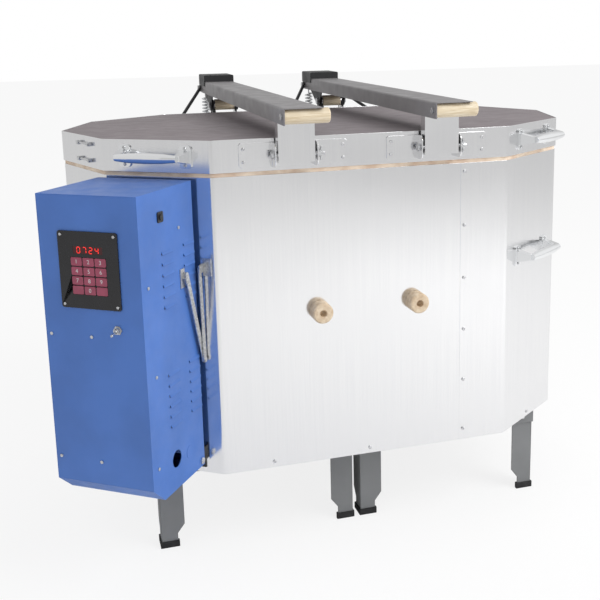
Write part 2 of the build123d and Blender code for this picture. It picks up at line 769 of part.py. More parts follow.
def make_tail_caps():
    """Black folded caps that stand over the arms' tails, closed at the front."""
    half = ARM_WIDTH / 2
    top = ARM_TOP_OVER_PIVOT + CAP_OVER_ARM
    low = ARM_TOP_OVER_PIVOT - CAP_SIDE
    front = ARM_TAIL - CAP_LENGTH
    cap = block(-half - CAP_T, half + CAP_T, front, ARM_TAIL + CAP_T, low, top)
    cap = chamfer(cap.edges().filter_by(Axis.Y).sort_by(Axis.Z)[-2:], CAP_T)
    cap -= block(-half, half, front + CAP_T, ARM_TAIL + CAP_T + 1, low - 1, top - CAP_T)
    cap -= block(-half, half, front - 1, front + CAP_T + 1, low - 1, ARM_TOP_OVER_PIVOT)
    return [arm_place(x) * cap for x in ARM_NAMES.values()]


def make_arm_bolts():
    """Spring pins through the tails, grip screws and cross bolts."""
    half = ARM_WIDTH / 2
    outside = half + CAP_T + BRACE_EYE_T
    y, z = grip_centre()
    bolts = []
    for x in ARM_NAMES.values():
        pin = rod_x(SPRING_PIN_RADIUS, -outside, outside, SPRING_LEVER, SPRING_PIN_OVER_PIVOT)
        for side in (-1, 1):
            head = Pos(side * outside, SPRING_LEVER, SPRING_PIN_OVER_PIVOT)
            pin += head * Rot(0, side * 90, 0) * prism_head(8, 5, 6)
        bolts.append(arm_place(x) * pin)
        grip_screw = Pos(-half, y, z) * Rot(0, -90, 0) * prism_head(6, 4, 6)
        bolts.append(arm_place(x) * grip_screw)
    return bolts


def make_rear_brackets():
    """Lid hinge leaves: a plate on the rear of the band and two ears on the pivot."""
    z0 = LID_Z + 10
    z1 = BAND_TOP - 8
    eye = CHEEK_ROUND - 3
    outline = [(REAR_LID_Y, z0), (REAR_LID_Y + BRACKET_T, z0), (PIVOT_Y + eye, PIVOT_Z - 4),
               (PIVOT_Y, PIVOT_Z + 4), (REAR_LID_Y + 4, BAND_TOP + 4),
               (REAR_LID_Y + 0.5, BAND_TOP)]
    leaf = block(-LEAF_OUTSIDE, LEAF_OUTSIDE, REAR_LID_Y, REAR_LID_Y + BRACKET_T, z0, z1)
    for x0 in (-LEAF_OUTSIDE, LEAF_INSIDE):
        leaf += plate_yz(outline, x0, x0 + BRACKET_T)
        leaf += rod_x(eye, x0, x0 + BRACKET_T, PIVOT_Y, PIVOT_Z)
    leaf -= rod_x(PIVOT_RADIUS + RUNNING_CLEARANCE, -ARM_WIDTH, ARM_WIDTH, PIVOT_Y, PIVOT_Z)
    return [Pos(x, 0, 0) * leaf for x in ARM_NAMES.values()]


def make_rollers():
    """Ceramic spacer tubes between the hinge ears."""
    rollers = []
    for x in ARM_NAMES.values():
        tube = rod_x(ROLLER_RADIUS, -ROLLER_HALF, ROLLER_HALF, PIVOT_Y, PIVOT_Z)
        tube -= rod_x(PIVOT_RADIUS + RUNNING_CLEARANCE, -ARM_WIDTH, ARM_WIDTH, PIVOT_Y, PIVOT_Z)
        rollers.append(Pos(x, 0, 0) * tube)
    return rollers


# Front lid brackets

def hanger_half():
    return ARM_WIDTH / 2 - ARM_T - HANGER_SIDE_GAP


def make_front_brackets():
    """Screwed plates on the front of the lid band, each with two forward ears."""
    brackets = []
    ear_x = ARM_WIDTH / 2 + EAR_GAP
    for x in ARM_NAMES.values():
        z0 = BAND_MID_Z - BRACKET_H / 2
        z1 = BAND_MID_Z + BRACKET_H / 2
        back = FRONT_LID_Y
        plate = block(-BRACKET_W / 2, BRACKET_W / 2, back - BRACKET_T, back, z0, z1)
        plate = chamfer(plate.edges().filter_by(Axis.Y), 4)
        for x0 in (-ear_x - BRACKET_T, ear_x):
            ear = block(x0, x0 + BRACKET_T, back - BRACKET_EAR_REACH, back - BRACKET_T, z0, z1)
            front = ear.edges().filter_by(Axis.X).sort_by(Axis.Y)[:2]
            plate += fillet(front, 12)
        plate -= rod_x(HANGER_BOLT_RADIUS, -ARM_WIDTH, ARM_WIDTH, HANGER_BOLT_Y, BAND_MID_Z)
        brackets.append(Pos(x, 0, 0) * plate)
    return brackets


def make_hangers():
    """Channels that hang the lid's front from the arms."""
    half = hanger_half()
    front = FRONT_LID_Y - HANGER_REACH
    low = BAND_MID_Z - HANGER_BELOW_BOLT
    arm_y, arm_z = arm_point(front - PIVOT_Y, ARM_TOP_OVER_PIVOT - ARM_T)
    high = arm_z - 4
    hangers = []
    for x in ARM_NAMES.values():
        body = block(-half, half, front, front + HANGER_DEPTH, low, high)
        body -= block(-half + HANGER_T, half - HANGER_T, front + HANGER_T,
                      front + HANGER_DEPTH + 1, low - 1, high + 1)
        body -= rod_x(HANGER_BOLT_RADIUS, -ARM_WIDTH, ARM_WIDTH, HANGER_BOLT_Y, BAND_MID_Z)
        hangers.append(Pos(x, 0, 0) * body)
    return hangers


def make_hanger_bolts():
    """Cross bolts with a head on the left, a spacer and a winged nut on the right."""
    outside = ARM_WIDTH / 2 + EAR_GAP + BRACKET_T
    bolts = []
    for x in ARM_NAMES.values():
        bolt = rod_x(HANGER_BOLT_RADIUS, -outside, outside + 16, HANGER_BOLT_Y, BAND_MID_Z)
        head = Pos(-outside, HANGER_BOLT_Y, BAND_MID_Z) * Rot(0, -90, 0) * prism_head(8, 6, 6)
        nut = Pos(outside, HANGER_BOLT_Y, BAND_MID_Z) * Rot(0, 90, 0) * prism_head(8, 7, 6)
        wing = block(outside + 7, outside + 10, HANGER_BOLT_Y - 3, HANGER_BOLT_Y + 3,
                     BAND_MID_Z - 14, BAND_MID_Z + 14)
        bolts.append(Pos(x, 0, 0) * (bolt + head + nut + wing))
    return bolts


def make_lid_screws():
    """Screws of the front brackets, the rear leaves and the lid handles."""
    screws = []
    for x in ARM_NAMES.values():
        for sx in (-1, 1):
            for sz in (-1, 1):
                px = x + sx * (BRACKET_W / 2 - 9)
                pz = BAND_MID_Z + sz * (BRACKET_H / 2 - 12)
                screws.append(screw_on_wall(px, FRONT_LID_Y - BRACKET_T, pz, 3.5, 1.6))
    for place in (FRONT_LEFT, FRONT_RIGHT):
        screws += handle_screws(lid_face(place), BAND_MID_Z)
    return screws


def handle_screws(place, z):
    screws = []
    for sx in (-1, 1):
        for sz in (-1, 1):
            x = sx * HANDLE_PITCH / 2
            screws.append(place * screw_on_wall(x, -HANDLE_FOOT_T, z + sz * 17, 3.5, 1.8))
    return screws


# Hinge posts, springs and braces

def make_post(x):
    """A channel upright on the back of the jacket whose flanges run up as hinge ears."""
    back = HALF_FLATS + POST_STANDOFF
    rear = back + POST_DEPTH
    z_ear = JACKET_TOP - 8
    post = block(-EAR_OUTSIDE, EAR_OUTSIDE, back, back + POST_T, POST_BOTTOM, JACKET_TOP - 3)
    outline = [(back, POST_BOTTOM), (rear, POST_BOTTOM), (rear, PIVOT_Z),
               (HALF_FLATS + EAR_FRONT, PIVOT_Z), (HALF_FLATS + EAR_FRONT, z_ear + 6),
               (back, z_ear)]
    for x0 in (-EAR_OUTSIDE, EAR_INSIDE):
        post += plate_yz(outline, x0, x0 + EAR_T)
        post += rod_x(EAR_OVER_PIVOT, x0, x0 + EAR_T, PIVOT_Y, PIVOT_Z)
    stop_y, stop_z = stop_bar_centre()
    post -= rod_x(PIVOT_RADIUS, -ARM_WIDTH, ARM_WIDTH, PIVOT_Y, PIVOT_Z)
    post -= rod_x(STOP_BAR_RADIUS, -ARM_WIDTH, ARM_WIDTH, stop_y, stop_z)
    return Pos(x, 0, 0) * post


def stop_bar_centre():
    """Where the stop bar lies so that the cheeks meet it when the lid is fully open."""
    along = math.radians(CHEEK_RISE_DEG + ARM_SLOPE - LID_OPEN_DEG)
    away = CHEEK_ROUND + STOP_BAR_RADIUS + SEAT_GAP
    return (PIVOT_Y + away * math.sin(along) + STOP_ALONG_CHEEK * math.cos(along),
            PIVOT_Z - away * math.cos(along) + STOP_ALONG_CHEEK * math.sin(along))


def make_hinge_bolts():
    """Pivot bolts and lid stop bars, headed outside the cheeks."""
    half = WEB_INSIDE + SEAT_GAP
    bolts = []
    for x in ARM_NAMES.values():
        for radius, (y, z) in ((PIVOT_RADIUS, (PIVOT_Y, PIVOT_Z)),
                               (STOP_BAR_RADIUS, stop_bar_centre())):
            bolt = rod_x(radius, -half, half, y, z)
            for side in (-1, 1):
                bolt += Pos(side * half, y, z) * Rot(0, side * 90, 0) * prism_head(9, 5, 6)
            bolts.append(Pos(x, 0, 0) * bolt)
    return bolts


def make_braces():
    """Round braces from each arm's tail down to the rear of the lid band."""
    side_x = ARM_WIDTH / 2 + CAP_T
    foot_y = REAR_LID_Y + BRACE_RADIUS
    foot_z = BAND_MID_Z + BRACE_FOOT_RISE
    run = math.hypot(SPRING_PIN_Y - foot_y, SPRING_PIN_Z - foot_z)
    spread = (BRACE_SPREAD - side_x) / run
    relief = BRACE_EYE - SEAT_GAP
    start_x = side_x + BRACE_RADIUS * math.hypot(1, spread) - spread * relief
    pin_hole = rod_x(SPRING_PIN_RADIUS, -ARM_WIDTH, ARM_WIDTH, SPRING_PIN_Y, SPRING_PIN_Z)
    braces = []
    for x in ARM_NAMES.values():
        for side in (-1, 1):
            foot_x = side * BRACE_SPREAD
            brace = rod_between(BRACE_RADIUS, (side * start_x, SPRING_PIN_Y, SPRING_PIN_Z),
                                (foot_x, foot_y, foot_z))
            brace -= rod_x(relief, -2 * ARM_WIDTH, 2 * ARM_WIDTH, SPRING_PIN_Y, SPRING_PIN_Z)
            brace -= block(-2 * ARM_WIDTH, 2 * ARM_WIDTH, 0, REAR_LID_Y, 0, 2 * PIVOT_Z)
            ends = sorted((side * side_x, side * (side_x + BRACE_EYE_T)))
            brace += rod_x(BRACE_EYE, ends[0], ends[1], SPRING_PIN_Y, SPRING_PIN_Z)
            brace += rod_y(BRACE_EYE, foot_x, REAR_LID_Y, REAR_LID_Y + BRACE_EYE_T, foot_z)
            braces.append(Pos(x, 0, 0) * (brace - pin_hole))
    return braces


def make_spring(x):
    """The outer form of a close-wound extension spring, with a hook at each end."""
    inner = SPRING_OUTER - SPRING_WIRE
    body_low = SPRING_HOOK
    body_high = SPRING_LENGTH - SPRING_HOOK
    tube = Circle(SPRING_OUTER) - Circle(inner)
    body = Pos(0, 0, body_low) * extrude(tube, body_high - body_low)
    for z, turn in ((0, 0), (SPRING_LENGTH, 180)):
        body += Pos(0, 0, z) * Rot(turn, 0, 0) * spring_hook()
    return Pos(x + SPRING_OFFSET, SPRING_PIN_Y, SPRING_FOOT_Z) * body


def spring_hook():
    """A flat hook round the X axis with a shank up to the coil's wall."""
    eye = SPRING_PIN_RADIUS + SEAT_GAP
    loop = Plane.YZ * (Circle(eye + SPRING_WIRE) - Circle(eye))
    loop = Pos(-SPRING_WIRE / 2, 0, 0) * extrude(loop, SPRING_WIRE)
    middle = eye + SPRING_WIRE / 2
    shank = block(-SPRING_WIRE / 2, SPRING_WIRE / 2, -SPRING_WIRE / 2, SPRING_WIRE / 2,
                  middle, SPRING_HOOK + 2)
    bar = block(-SPRING_WIRE / 2, SPRING_WIRE / 2, -SPRING_OUTER + 1, SPRING_OUTER - 1,
                SPRING_HOOK - 1, SPRING_HOOK + 2)
    return loop + shank + bar


def make_spring_anchors():
    """Forked arms on the posts, each with the pin that its spring's lower hook holds."""
    back = HALF_FLATS + POST_STANDOFF + POST_DEPTH
    low = SPRING_FOOT_Z - ANCHOR_HEIGHT / 2
    high = SPRING_FOOT_Z + ANCHOR_HEIGHT / 2
    nose = SPRING_PIN_RADIUS * 3
    tip = SPRING_PIN_Y + nose
    outer = ANCHOR_HALF_GAP + ANCHOR_T
    left = SPRING_OFFSET - outer - ANCHOR_BASE_OVERLAP
    fork = block(left, EAR_OUTSIDE + ANCHOR_BASE_OVERLAP, back, back + ANCHOR_T, low, high)
    outline = [(back + ANCHOR_T, low), (back + ANCHOR_NECK, low), (tip, SPRING_FOOT_Z - nose),
               (tip, SPRING_FOOT_Z + nose), (back + ANCHOR_NECK, high), (back + ANCHOR_T, high)]
    for x0 in (SPRING_OFFSET - outer, SPRING_OFFSET + ANCHOR_HALF_GAP):
        fork += plate_yz(outline, x0, x0 + ANCHOR_T)
    fork += rod_x(SPRING_PIN_RADIUS, SPRING_OFFSET - outer - 3, SPRING_OFFSET + outer + 3,
                  SPRING_PIN_Y, SPRING_FOOT_Z)
    return [Pos(x, 0, 0) * fork for x in ARM_NAMES.values()]


def make_post_bolts():
    """Bolts that hold the posts to the back of the body."""
    web_y = HALF_FLATS + POST_STANDOFF + POST_T
    bolts = []
    for x in ARM_NAMES.values():
        for up in POST_BOLT_UPS:
            for side in (-1, 1):
                place = Pos(x + side * EAR_OUTSIDE / 2, web_y, POST_BOTTOM + up)
                bolts.append(place * Rot(-90, 0, 0) * prism_head(7, 5, 6))
    return bolts


# Peephole plugs

def make_plug(x):
    """A tapered plug with a bored head that stands out of the jacket."""
    shank = PEEP_RADIUS - PLUG_CLEARANCE
    reach = BRICK_INNER - 2
    profile = [(0, -SEAT_GAP), (PLUG_HEAD_RADIUS, -SEAT_GAP),
               (PLUG_HEAD_RADIUS, -PLUG_HEAD_LENGTH + 3),
               (PLUG_HEAD_RADIUS - 3, -PLUG_HEAD_LENGTH),
               (PLUG_BLIND_RADIUS, -PLUG_HEAD_LENGTH),
               (PLUG_BLIND_RADIUS - 1, -PLUG_HEAD_LENGTH + PLUG_BLIND_DEPTH),
               (0, -PLUG_HEAD_LENGTH + PLUG_BLIND_DEPTH)]
    head = revolve(make_face(Polyline(*profile, close=True)), Axis.Y)
    taper = [(0, -SEAT_GAP - 1), (shank, -SEAT_GAP - 1), (PLUG_TIP_RADIUS, reach), (0, reach)]
    cone = revolve(make_face(Polyline(*taper, close=True)), Axis.Y)
    return Pos(x, -HALF_FLATS, PEEP_Z) * (head + cone)


# Control box, drawn on the front-left face: X right, -Y out, Z up

def box_outline():
    """Side view of the box, with its lower front corner sloped away."""
    return make_face(Polyline(
        (BOX_BACK_Y, BOX_BOTTOM), (BOX_BACK_Y, BOX_TOP), (BOX_FRONT_Y, BOX_TOP),
        (BOX_FRONT_Y, BOX_BOTTOM + BOX_CHAMFER_RISE),
        (BOX_FRONT_Y + BOX_CHAMFER_DEPTH, BOX_BOTTOM), close=True))


def box_wrap():
    """The sheet that closes the box all round between its sides."""
    outline = box_outline()
    inside = offset(outline, -BOX_T, kind=Kind.INTERSECTION)
    wrap = Plane.YZ.offset(BOX_LEFT + BOX_T) * (outline - inside)
    return extrude(wrap, BOX_W - 2 * BOX_T)


def louvre_hoods(x_face, out_side):
    """Louvres of one side panel: the slots to cut and the hoods that stand over them."""
    slots = []
    hoods = []
    for out in LOUVRE_OUTS:
        for up in LOUVRE_BANK_UPS:
            for step in range(LOUVRES_PER_BANK):
                z = BOX_BOTTOM + up - step * LOUVRE_PITCH
                y0 = -out - LOUVRE_LENGTH / 2
                slots.append(block(x_face - 4, x_face + 4, y0, y0 + LOUVRE_LENGTH,
                                   z - LOUVRE_HEIGHT, z))
                wedge = [(0, z), (0, z + 2), (out_side * LOUVRE_HOOD, z - LOUVRE_HEIGHT + 1),
                         (out_side * LOUVRE_HOOD, z - LOUVRE_HEIGHT)]
                face = Plane.XZ * make_face(Polyline(*wedge, close=True))
                hoods.append(Pos(x_face, y0 + LOUVRE_LENGTH, 0) * extrude(face, LOUVRE_LENGTH))
    return slots, hoods


def make_side(out_side):
    """A louvred side panel; the right one has the cord entry, knock-out and fuse hole."""
    x_face = BOX_RIGHT if out_side > 0 else BOX_LEFT
    x0 = x_face - BOX_T if out_side > 0 else x_face
    panel = extrude(Plane.YZ.offset(x0) * box_outline(), BOX_T)
    slots, hoods = louvre_hoods(x_face, out_side)
    panel = panel - slots
    panel = panel + hoods
    panel -= rod_x(BOX_PIVOT_RADIUS, x0 - 1, x0 + BOX_T + 1, BOX_PIVOT_Y, BOX_PIVOT_Z)
    if out_side > 0:
        cord_z = BOX_BOTTOM + CORD_HOLE_UP
        panel -= rod_x(CORD_HOLE_RADIUS, x0 - 1, x0 + BOX_T + 1, -CORD_HOLE_OUT, cord_z)
        knock_z = BOX_BOTTOM + KNOCKOUT_UP
        panel += rod_x(KNOCKOUT_RADIUS, x0 + BOX_T, x0 + BOX_T + 0.6, -KNOCKOUT_OUT, knock_z)
        half = FUSE_SIZE / 2 - 1.5
        panel -= block(x0 - 1, x0 + BOX_T + 1, -FUSE_OUT - half, -FUSE_OUT + half,
                       FUSE_Z - half, FUSE_Z + half)
    return FRONT_LEFT * panel


def hinge_ear_x():
    """Where the two hinge ears stand, just inside the side panels."""
    inner = BOX_T + STAY_GAP
    return ((BOX_LEFT + inner, BOX_LEFT + inner + BRACKET_T),
            (BOX_RIGHT - inner - BRACKET_T, BOX_RIGHT - inner))


def front_sheet_zone():
    """The part of the wrap that is the front sheet."""
    return block(BOX_LEFT, BOX_RIGHT, BOX_FRONT_Y - 1, BOX_FRONT_Y + BOX_T,
                 BOX_BOTTOM + BOX_CHAMFER_RISE, BOX_TOP - BOX_T)


def make_front():
    """Front sheet with the keypad opening and the toggle hole."""
    front = box_wrap() & front_sheet_zone()
    keypad_x = BOX_SHIFT
    half_w = KEYPAD_W / 2 - 8
    half_h = KEYPAD_H / 2 - 8
    front -= block(keypad_x - half_w, keypad_x + half_w, BOX_FRONT_Y - 1, BOX_FRONT_Y + 5,
                   KEYPAD_Z - half_h, KEYPAD_Z + half_h)
    front -= rod_y(TOGGLE_BUSH_RADIUS, BOX_SHIFT + TOGGLE_RIGHT, BOX_FRONT_Y - 1,
                   BOX_FRONT_Y + 5, TOGGLE_Z)
    return FRONT_LEFT * front


def make_chassis():
    """Folded top, back and bottom sheet with its terminal window and hinge notches."""
    chassis = box_wrap() - front_sheet_zone()
    half = SERVICE_SLOT_W / 2 + 2
    chassis -= block(-half, half, BOX_BACK_Y - 5, 0, BOX_BOTTOM + BACK_WINDOW_MARGIN,
                     BOX_TOP - BACK_WINDOW_MARGIN)
    for x0, x1 in hinge_ear_x():
        chassis -= block(x0 - 3, x1 + 3, -BOX_PIVOT_OUT - 14, 0, 0, BOX_PIVOT_Z + 26)
    return FRONT_LEFT * chassis


def make_box_hinge_bolts():
    bolts = []
    for x0, x1 in hinge_ear_x():
        side = 1 if x0 > BOX_SHIFT else -1
        face = BOX_RIGHT if side > 0 else BOX_LEFT
        inner = x0 - 3 if side > 0 else x1 + 3
        bolt = rod_x(BOX_PIVOT_RADIUS, min(face, inner), max(face, inner), BOX_PIVOT_Y, BOX_PIVOT_Z)
        head = Pos(face, BOX_PIVOT_Y, BOX_PIVOT_Z) * Rot(0, side * 90, 0) * prism_head(7.5, 4, 6)
        bolts.append(FRONT_LEFT * (bolt + head))
    return bolts


def make_box_hinges():
    """Angles on the jacket with an ear for each lower corner of the box."""
    hinges = []
    low = BOX_PIVOT_Z - 25
    high = BOX_PIVOT_Z + 22
    for x0, x1 in hinge_ear_x():
        side = 1 if x0 > BOX_SHIFT else -1
        inward = x1 - side * 26 if side > 0 else x0 + 26
        leaf = block(min(inward, x1 if side > 0 else x0), max(inward, x1 if side > 0 else x0),
                     -BRACKET_T, 0, low, high)
        points = [(0, BOX_PIVOT_Z - 8), (BOX_PIVOT_Y, BOX_PIVOT_Z - 8),
                  (BOX_PIVOT_Y - 8, BOX_PIVOT_Z), (BOX_PIVOT_Y - 6, BOX_PIVOT_Z + 6),
                  (-12, high), (0, high)]
        ear = plate_yz(points, x0, x1)
        ear -= rod_x(BOX_PIVOT_RADIUS + RUNNING_CLEARANCE, x0 - 1, x1 + 1,
                     BOX_PIVOT_Y, BOX_PIVOT_Z)
        hinges.append(FRONT_LEFT * (leaf + ear))
    return hinges


def make_keypad():
    """Keypad bezel plate with its display window and a shallow tray for the keys."""
    front = BOX_FRONT_Y - KEYPAD_T
    plate = block(BOX_SHIFT - KEYPAD_W / 2, BOX_SHIFT + KEYPAD_W / 2, front, BOX_FRONT_Y,
                  KEYPAD_Z - KEYPAD_H / 2, KEYPAD_Z + KEYPAD_H / 2)
    plate = chamfer(plate.edges().filter_by(Axis.Y), 3)
    z = KEYPAD_Z + DISPLAY_UP
    plate -= block(BOX_SHIFT - DISPLAY_W / 2, BOX_SHIFT + DISPLAY_W / 2, front - 1,
                   front + KEYPAD_T - 1, z - DISPLAY_H / 2, z + DISPLAY_H / 2)
    for x, key_z in key_centres():
        half_x = KEY_PITCH_X / 2 - KEY_GAP / 2 + KEY_SIDE_GAP
        half_z = KEY_PITCH_Z / 2 - KEY_GAP / 2 + KEY_SIDE_GAP
        plate -= block(x - half_x, x + half_x, front - 1, BOX_FRONT_Y - KEY_FLOOR,
                       key_z - half_z, key_z + half_z)
    return FRONT_LEFT * plate


def key_centres():
    """Left to right, top row first."""
    return [(BOX_SHIFT + (column - (KEY_COLUMNS - 1) / 2) * KEY_PITCH_X,
             KEYPAD_Z + KEYS_UP + ((KEY_ROWS - 1) / 2 - row) * KEY_PITCH_Z)
            for row in range(KEY_ROWS) for column in range(KEY_COLUMNS)]


def make_keys():
    """Film keys: low pads in the bezel's pockets."""
    front = BOX_FRONT_Y - KEYPAD_T - KEY_PROUD
    half_x = KEY_PITCH_X / 2 - KEY_GAP / 2
    half_z = KEY_PITCH_Z / 2 - KEY_GAP / 2
    keys = []
    for x, z in key_centres():
        key = block(x - half_x, x + half_x, front, BOX_FRONT_Y - KEY_FLOOR, z - half_z, z + half_z)
        keys.append(FRONT_LEFT * chamfer(key.edges().filter_by(Axis.Y), 1.5))
    return keys


def make_display():
    front = BOX_FRONT_Y - KEYPAD_T
    z = KEYPAD_Z + DISPLAY_UP
    return FRONT_LEFT * block(BOX_SHIFT - DISPLAY_W / 2, BOX_SHIFT + DISPLAY_W / 2, front + 0.5,
                              front + KEYPAD_T - 1, z - DISPLAY_H / 2, z + DISPLAY_H / 2)


def make_toggle_base():
    """Toggle switch body behind the sheet, and its threaded neck in front."""
    x = BOX_SHIFT + TOGGLE_RIGHT
    back = BOX_FRONT_Y + BOX_T
    body = block(x - 8, x + 8, back, back + 22, TOGGLE_Z - 14, TOGGLE_Z + 14)
    neck = rod_y(TOGGLE_BUSH_RADIUS, x, BOX_FRONT_Y - TOGGLE_BUSH_LENGTH, back, TOGGLE_Z)
    nut = Pos(x, BOX_FRONT_Y, TOGGLE_Z) * Rot(90, 0, 0) * prism_head(9, 2.5, 6)
    socket = TOGGLE_BALL_RADIUS + SEAT_GAP
    clear = Pos(x, BOX_FRONT_Y - TOGGLE_BUSH_LENGTH + 1, TOGGLE_Z) * Sphere(socket)
    front = BOX_FRONT_Y - TOGGLE_BUSH_LENGTH
    mouth = block(x - 2, x + 2, front - 1, front + 2, TOGGLE_Z - 5, TOGGLE_Z + 5)
    return FRONT_LEFT * (body + neck + nut - clear - mouth)


def toggle_pivot():
    return (BOX_SHIFT + TOGGLE_RIGHT, BOX_FRONT_Y - TOGGLE_BUSH_LENGTH + 1, TOGGLE_Z)


def make_toggle_lever():
    """Bat lever on its ball, drawn thrown down."""
    length = TOGGLE_LENGTH
    profile = [(0, 0), (1.4, 0), (2.8, -length + 2), (1.8, -length), (0, -length)]
    bat = revolve(make_face(Polyline(*profile, close=True)), Axis.Y)
    lever = bat + Sphere(TOGGLE_BALL_RADIUS)
    return FRONT_LEFT * Pos(*toggle_pivot()) * Rot(TOGGLE_THROW_DEG / 2, 0, 0) * lever


def make_fuse():
    """Square fuse carrier pressed into the right side."""
    face = BOX_RIGHT
    half = FUSE_SIZE / 2
    bezel = block(face, face + 2.5, -FUSE_OUT - half, -FUSE_OUT + half, FUSE_Z - half, FUSE_Z + half)
    bezel = chamfer(bezel.edges().filter_by(Axis.X), 2)
    cap = rod_x(6, face + 2.5, face + 5, -FUSE_OUT, FUSE_Z)
    body = block(face - 30, face, -FUSE_OUT - half + 1.6, -FUSE_OUT + half - 1.6,
                 FUSE_Z - half + 1.6, FUSE_Z + half - 1.6)
    return FRONT_LEFT * (bezel + cap + body)


RELAY_SIZE = (50.0, 45.0, 52.0)
RELAY_COUNT = 3
RELAY_PITCH = 80.0
RELAY_LUG = 8.0
RELAY_FIRST_UP = 102.0
PART_X = -84.0


def make_relays():
    """Sealed power relays on the back sheet, one for each bank of elements."""
    width, depth, height = RELAY_SIZE
    y1 = BOX_BACK_Y - BOX_T
    relays = []
    for step in range(RELAY_COUNT):
        z = BOX_BOTTOM + RELAY_FIRST_UP + step * RELAY_PITCH
        can = block(PART_X - width / 2, PART_X + width / 2, y1 - depth, y1,
                    z - height / 2, z + height / 2)
        can = chamfer(can.edges().filter_by(Axis.Y), 4)
        for side in (-1, 1):
            lug_x = PART_X + side * width / 4
            can += block(lug_x - RELAY_LUG / 2, lug_x + RELAY_LUG / 2, y1 - depth - RELAY_LUG,
                         y1 - depth, z - RELAY_LUG / 2, z + RELAY_LUG / 2)
        relays.append(FRONT_LEFT * can)
    return relays


TRANSFORMER_UP = 412.0
CORE_SIZE = (60.0, 22.0, 50.0)
COIL_SIZE = (30.0, 42.0, 34.0)
FOOT_SIZE = (72.0, 1.5, 16.0)


def on_back_sheet(x, z, size, standoff=0.0):
    """A block of width, depth and height that stands off the box's back sheet."""
    width, depth, height = size
    y1 = BOX_BACK_Y - BOX_T - standoff
    return block(x - width / 2, x + width / 2, y1 - depth, y1, z - height / 2, z + height / 2)


def make_transformer():
    """Laminated core with its winding, on the back sheet."""
    z = BOX_BOTTOM + TRANSFORMER_UP
    standoff = (COIL_SIZE[1] - CORE_SIZE[1]) / 2
    coil = on_back_sheet(PART_X, z, COIL_SIZE)
    coil = chamfer(coil.edges().filter_by(Axis.Y), COIL_SIZE[0] / 8)
    core = on_back_sheet(PART_X, z, CORE_SIZE, standoff)
    return FRONT_LEFT * (core + coil + on_back_sheet(PART_X, z, FOOT_SIZE))


TERMINAL_BLOCK_SIZE = (30.0, 26.0, 90.0)
TERMINAL_BLOCK_OVER_CORD = 75.0
TERMINAL_BLOCK_WAYS = 3
TERMINAL_WAY_DEPTH = 14.0
TERMINAL_WALL = 6.0


def make_terminal_block():
    """Power terminal block above the cord entry."""
    width, depth, height = TERMINAL_BLOCK_SIZE
    x = BOX_RIGHT - BOX_T - 2 - width / 2
    z = BOX_BOTTOM + CORD_HOLE_UP + TERMINAL_BLOCK_OVER_CORD
    body = on_back_sheet(x, z, TERMINAL_BLOCK_SIZE)
    pitch = (height - TERMINAL_WALL) / TERMINAL_BLOCK_WAYS
    front = BOX_BACK_Y - BOX_T - depth
    for way in range(TERMINAL_BLOCK_WAYS):
        middle = z + (way - (TERMINAL_BLOCK_WAYS - 1) / 2) * pitch
        half = (pitch - TERMINAL_WALL) / 2
        body -= block(x - width, x + width, front - 1, front + TERMINAL_WAY_DEPTH,
                      middle - half, middle + half)
    return FRONT_LEFT * body


def make_board():
    """Controller board behind the keypad, held off the front sheet by four posts."""
    y0 = BOX_FRONT_Y + BOX_T + BOARD_OFFSET
    half_w = KEYPAD_W / 2 - 2
    half_h = KEYPAD_H / 2 - 2
    board = block(BOX_SHIFT - half_w, BOX_SHIFT + half_w, y0, y0 + 1.6,
                  KEYPAD_Z - half_h, KEYPAD_Z + half_h)
    for sx in (-1, 1):
        for sz in (-1, 1):
            x = BOX_SHIFT + sx * (half_w - 3)
            z = KEYPAD_Z + sz * (half_h - 3)
            board += block(x - 3, x + 3, BOX_FRONT_Y + BOX_T, y0, z - 3, z + 3)
    board += block(BOX_SHIFT - 20, BOX_SHIFT + 20, y0 + 1.6, y0 + 14, KEYPAD_Z - 30, KEYPAD_Z - 10)
    return FRONT_LEFT * board


FRONT_SCREWS = ((-94.0, 332.0), (-6.0, 332.0), (-94.0, 84.0), (-4.0, 82.0))
SIDE_SCREWS = ((-195.0, 427.0), (-72.0, 517.0), (-185.0, 252.0), (-195.0, 72.0))


def make_box_screws():
    """Screw heads of the front, the keypad bezel and both sides."""
    screws = []
    for x, up in FRONT_SCREWS:
        screws.append(screw_on_wall(BOX_SHIFT + x, BOX_FRONT_Y, BOX_BOTTOM + up, 3.5, 1.8))
    for sx in (-1, 1):
        for sz in (-1, 1):
            x = BOX_SHIFT + sx * (KEYPAD_W / 2 - 7)
            z = KEYPAD_Z + sz * (KEYPAD_H / 2 - 7)
            screws.append(screw_on_wall(x, BOX_FRONT_Y - KEYPAD_T, z, 3, 1.5))
    for y, up in SIDE_SCREWS:
        for face, turn in ((BOX_RIGHT, 90), (BOX_LEFT, -90)):
            screws.append(Pos(face, y, BOX_BOTTOM + up) * Rot(0, turn, 0) * prism_head(3.5, 1.8))
    return [FRONT_LEFT * screw for screw in screws]


# Folding stay

def stay_planes():
    """X of the inner faces of the box link, the wall link and the wall ear."""
    box_link = BOX_RIGHT + STAY_SIDE
    wall_link = box_link + STAY_T + STAY_GAP
    wall_ear = wall_link + STAY_T + STAY_GAP
    return box_link, wall_link, wall_ear


def make_link(start, end, x0):
    """A flat bar with round ends between two points given as out and height."""
    half = STAY_W / 2
    dy = -(end[0] - start[0])
    dz = end[1] - start[1]
    length = math.hypot(dy, dz)
    turn = math.degrees(math.atan2(dz, dy))
    flat = SlotCenterToCenter(length, 2 * half)
    middle = Pos(-(start[0] + end[0]) / 2, (start[1] + end[1]) / 2) * Rot(0, 0, turn)
    return extrude(Plane.YZ.offset(x0) * (middle * flat), STAY_T)


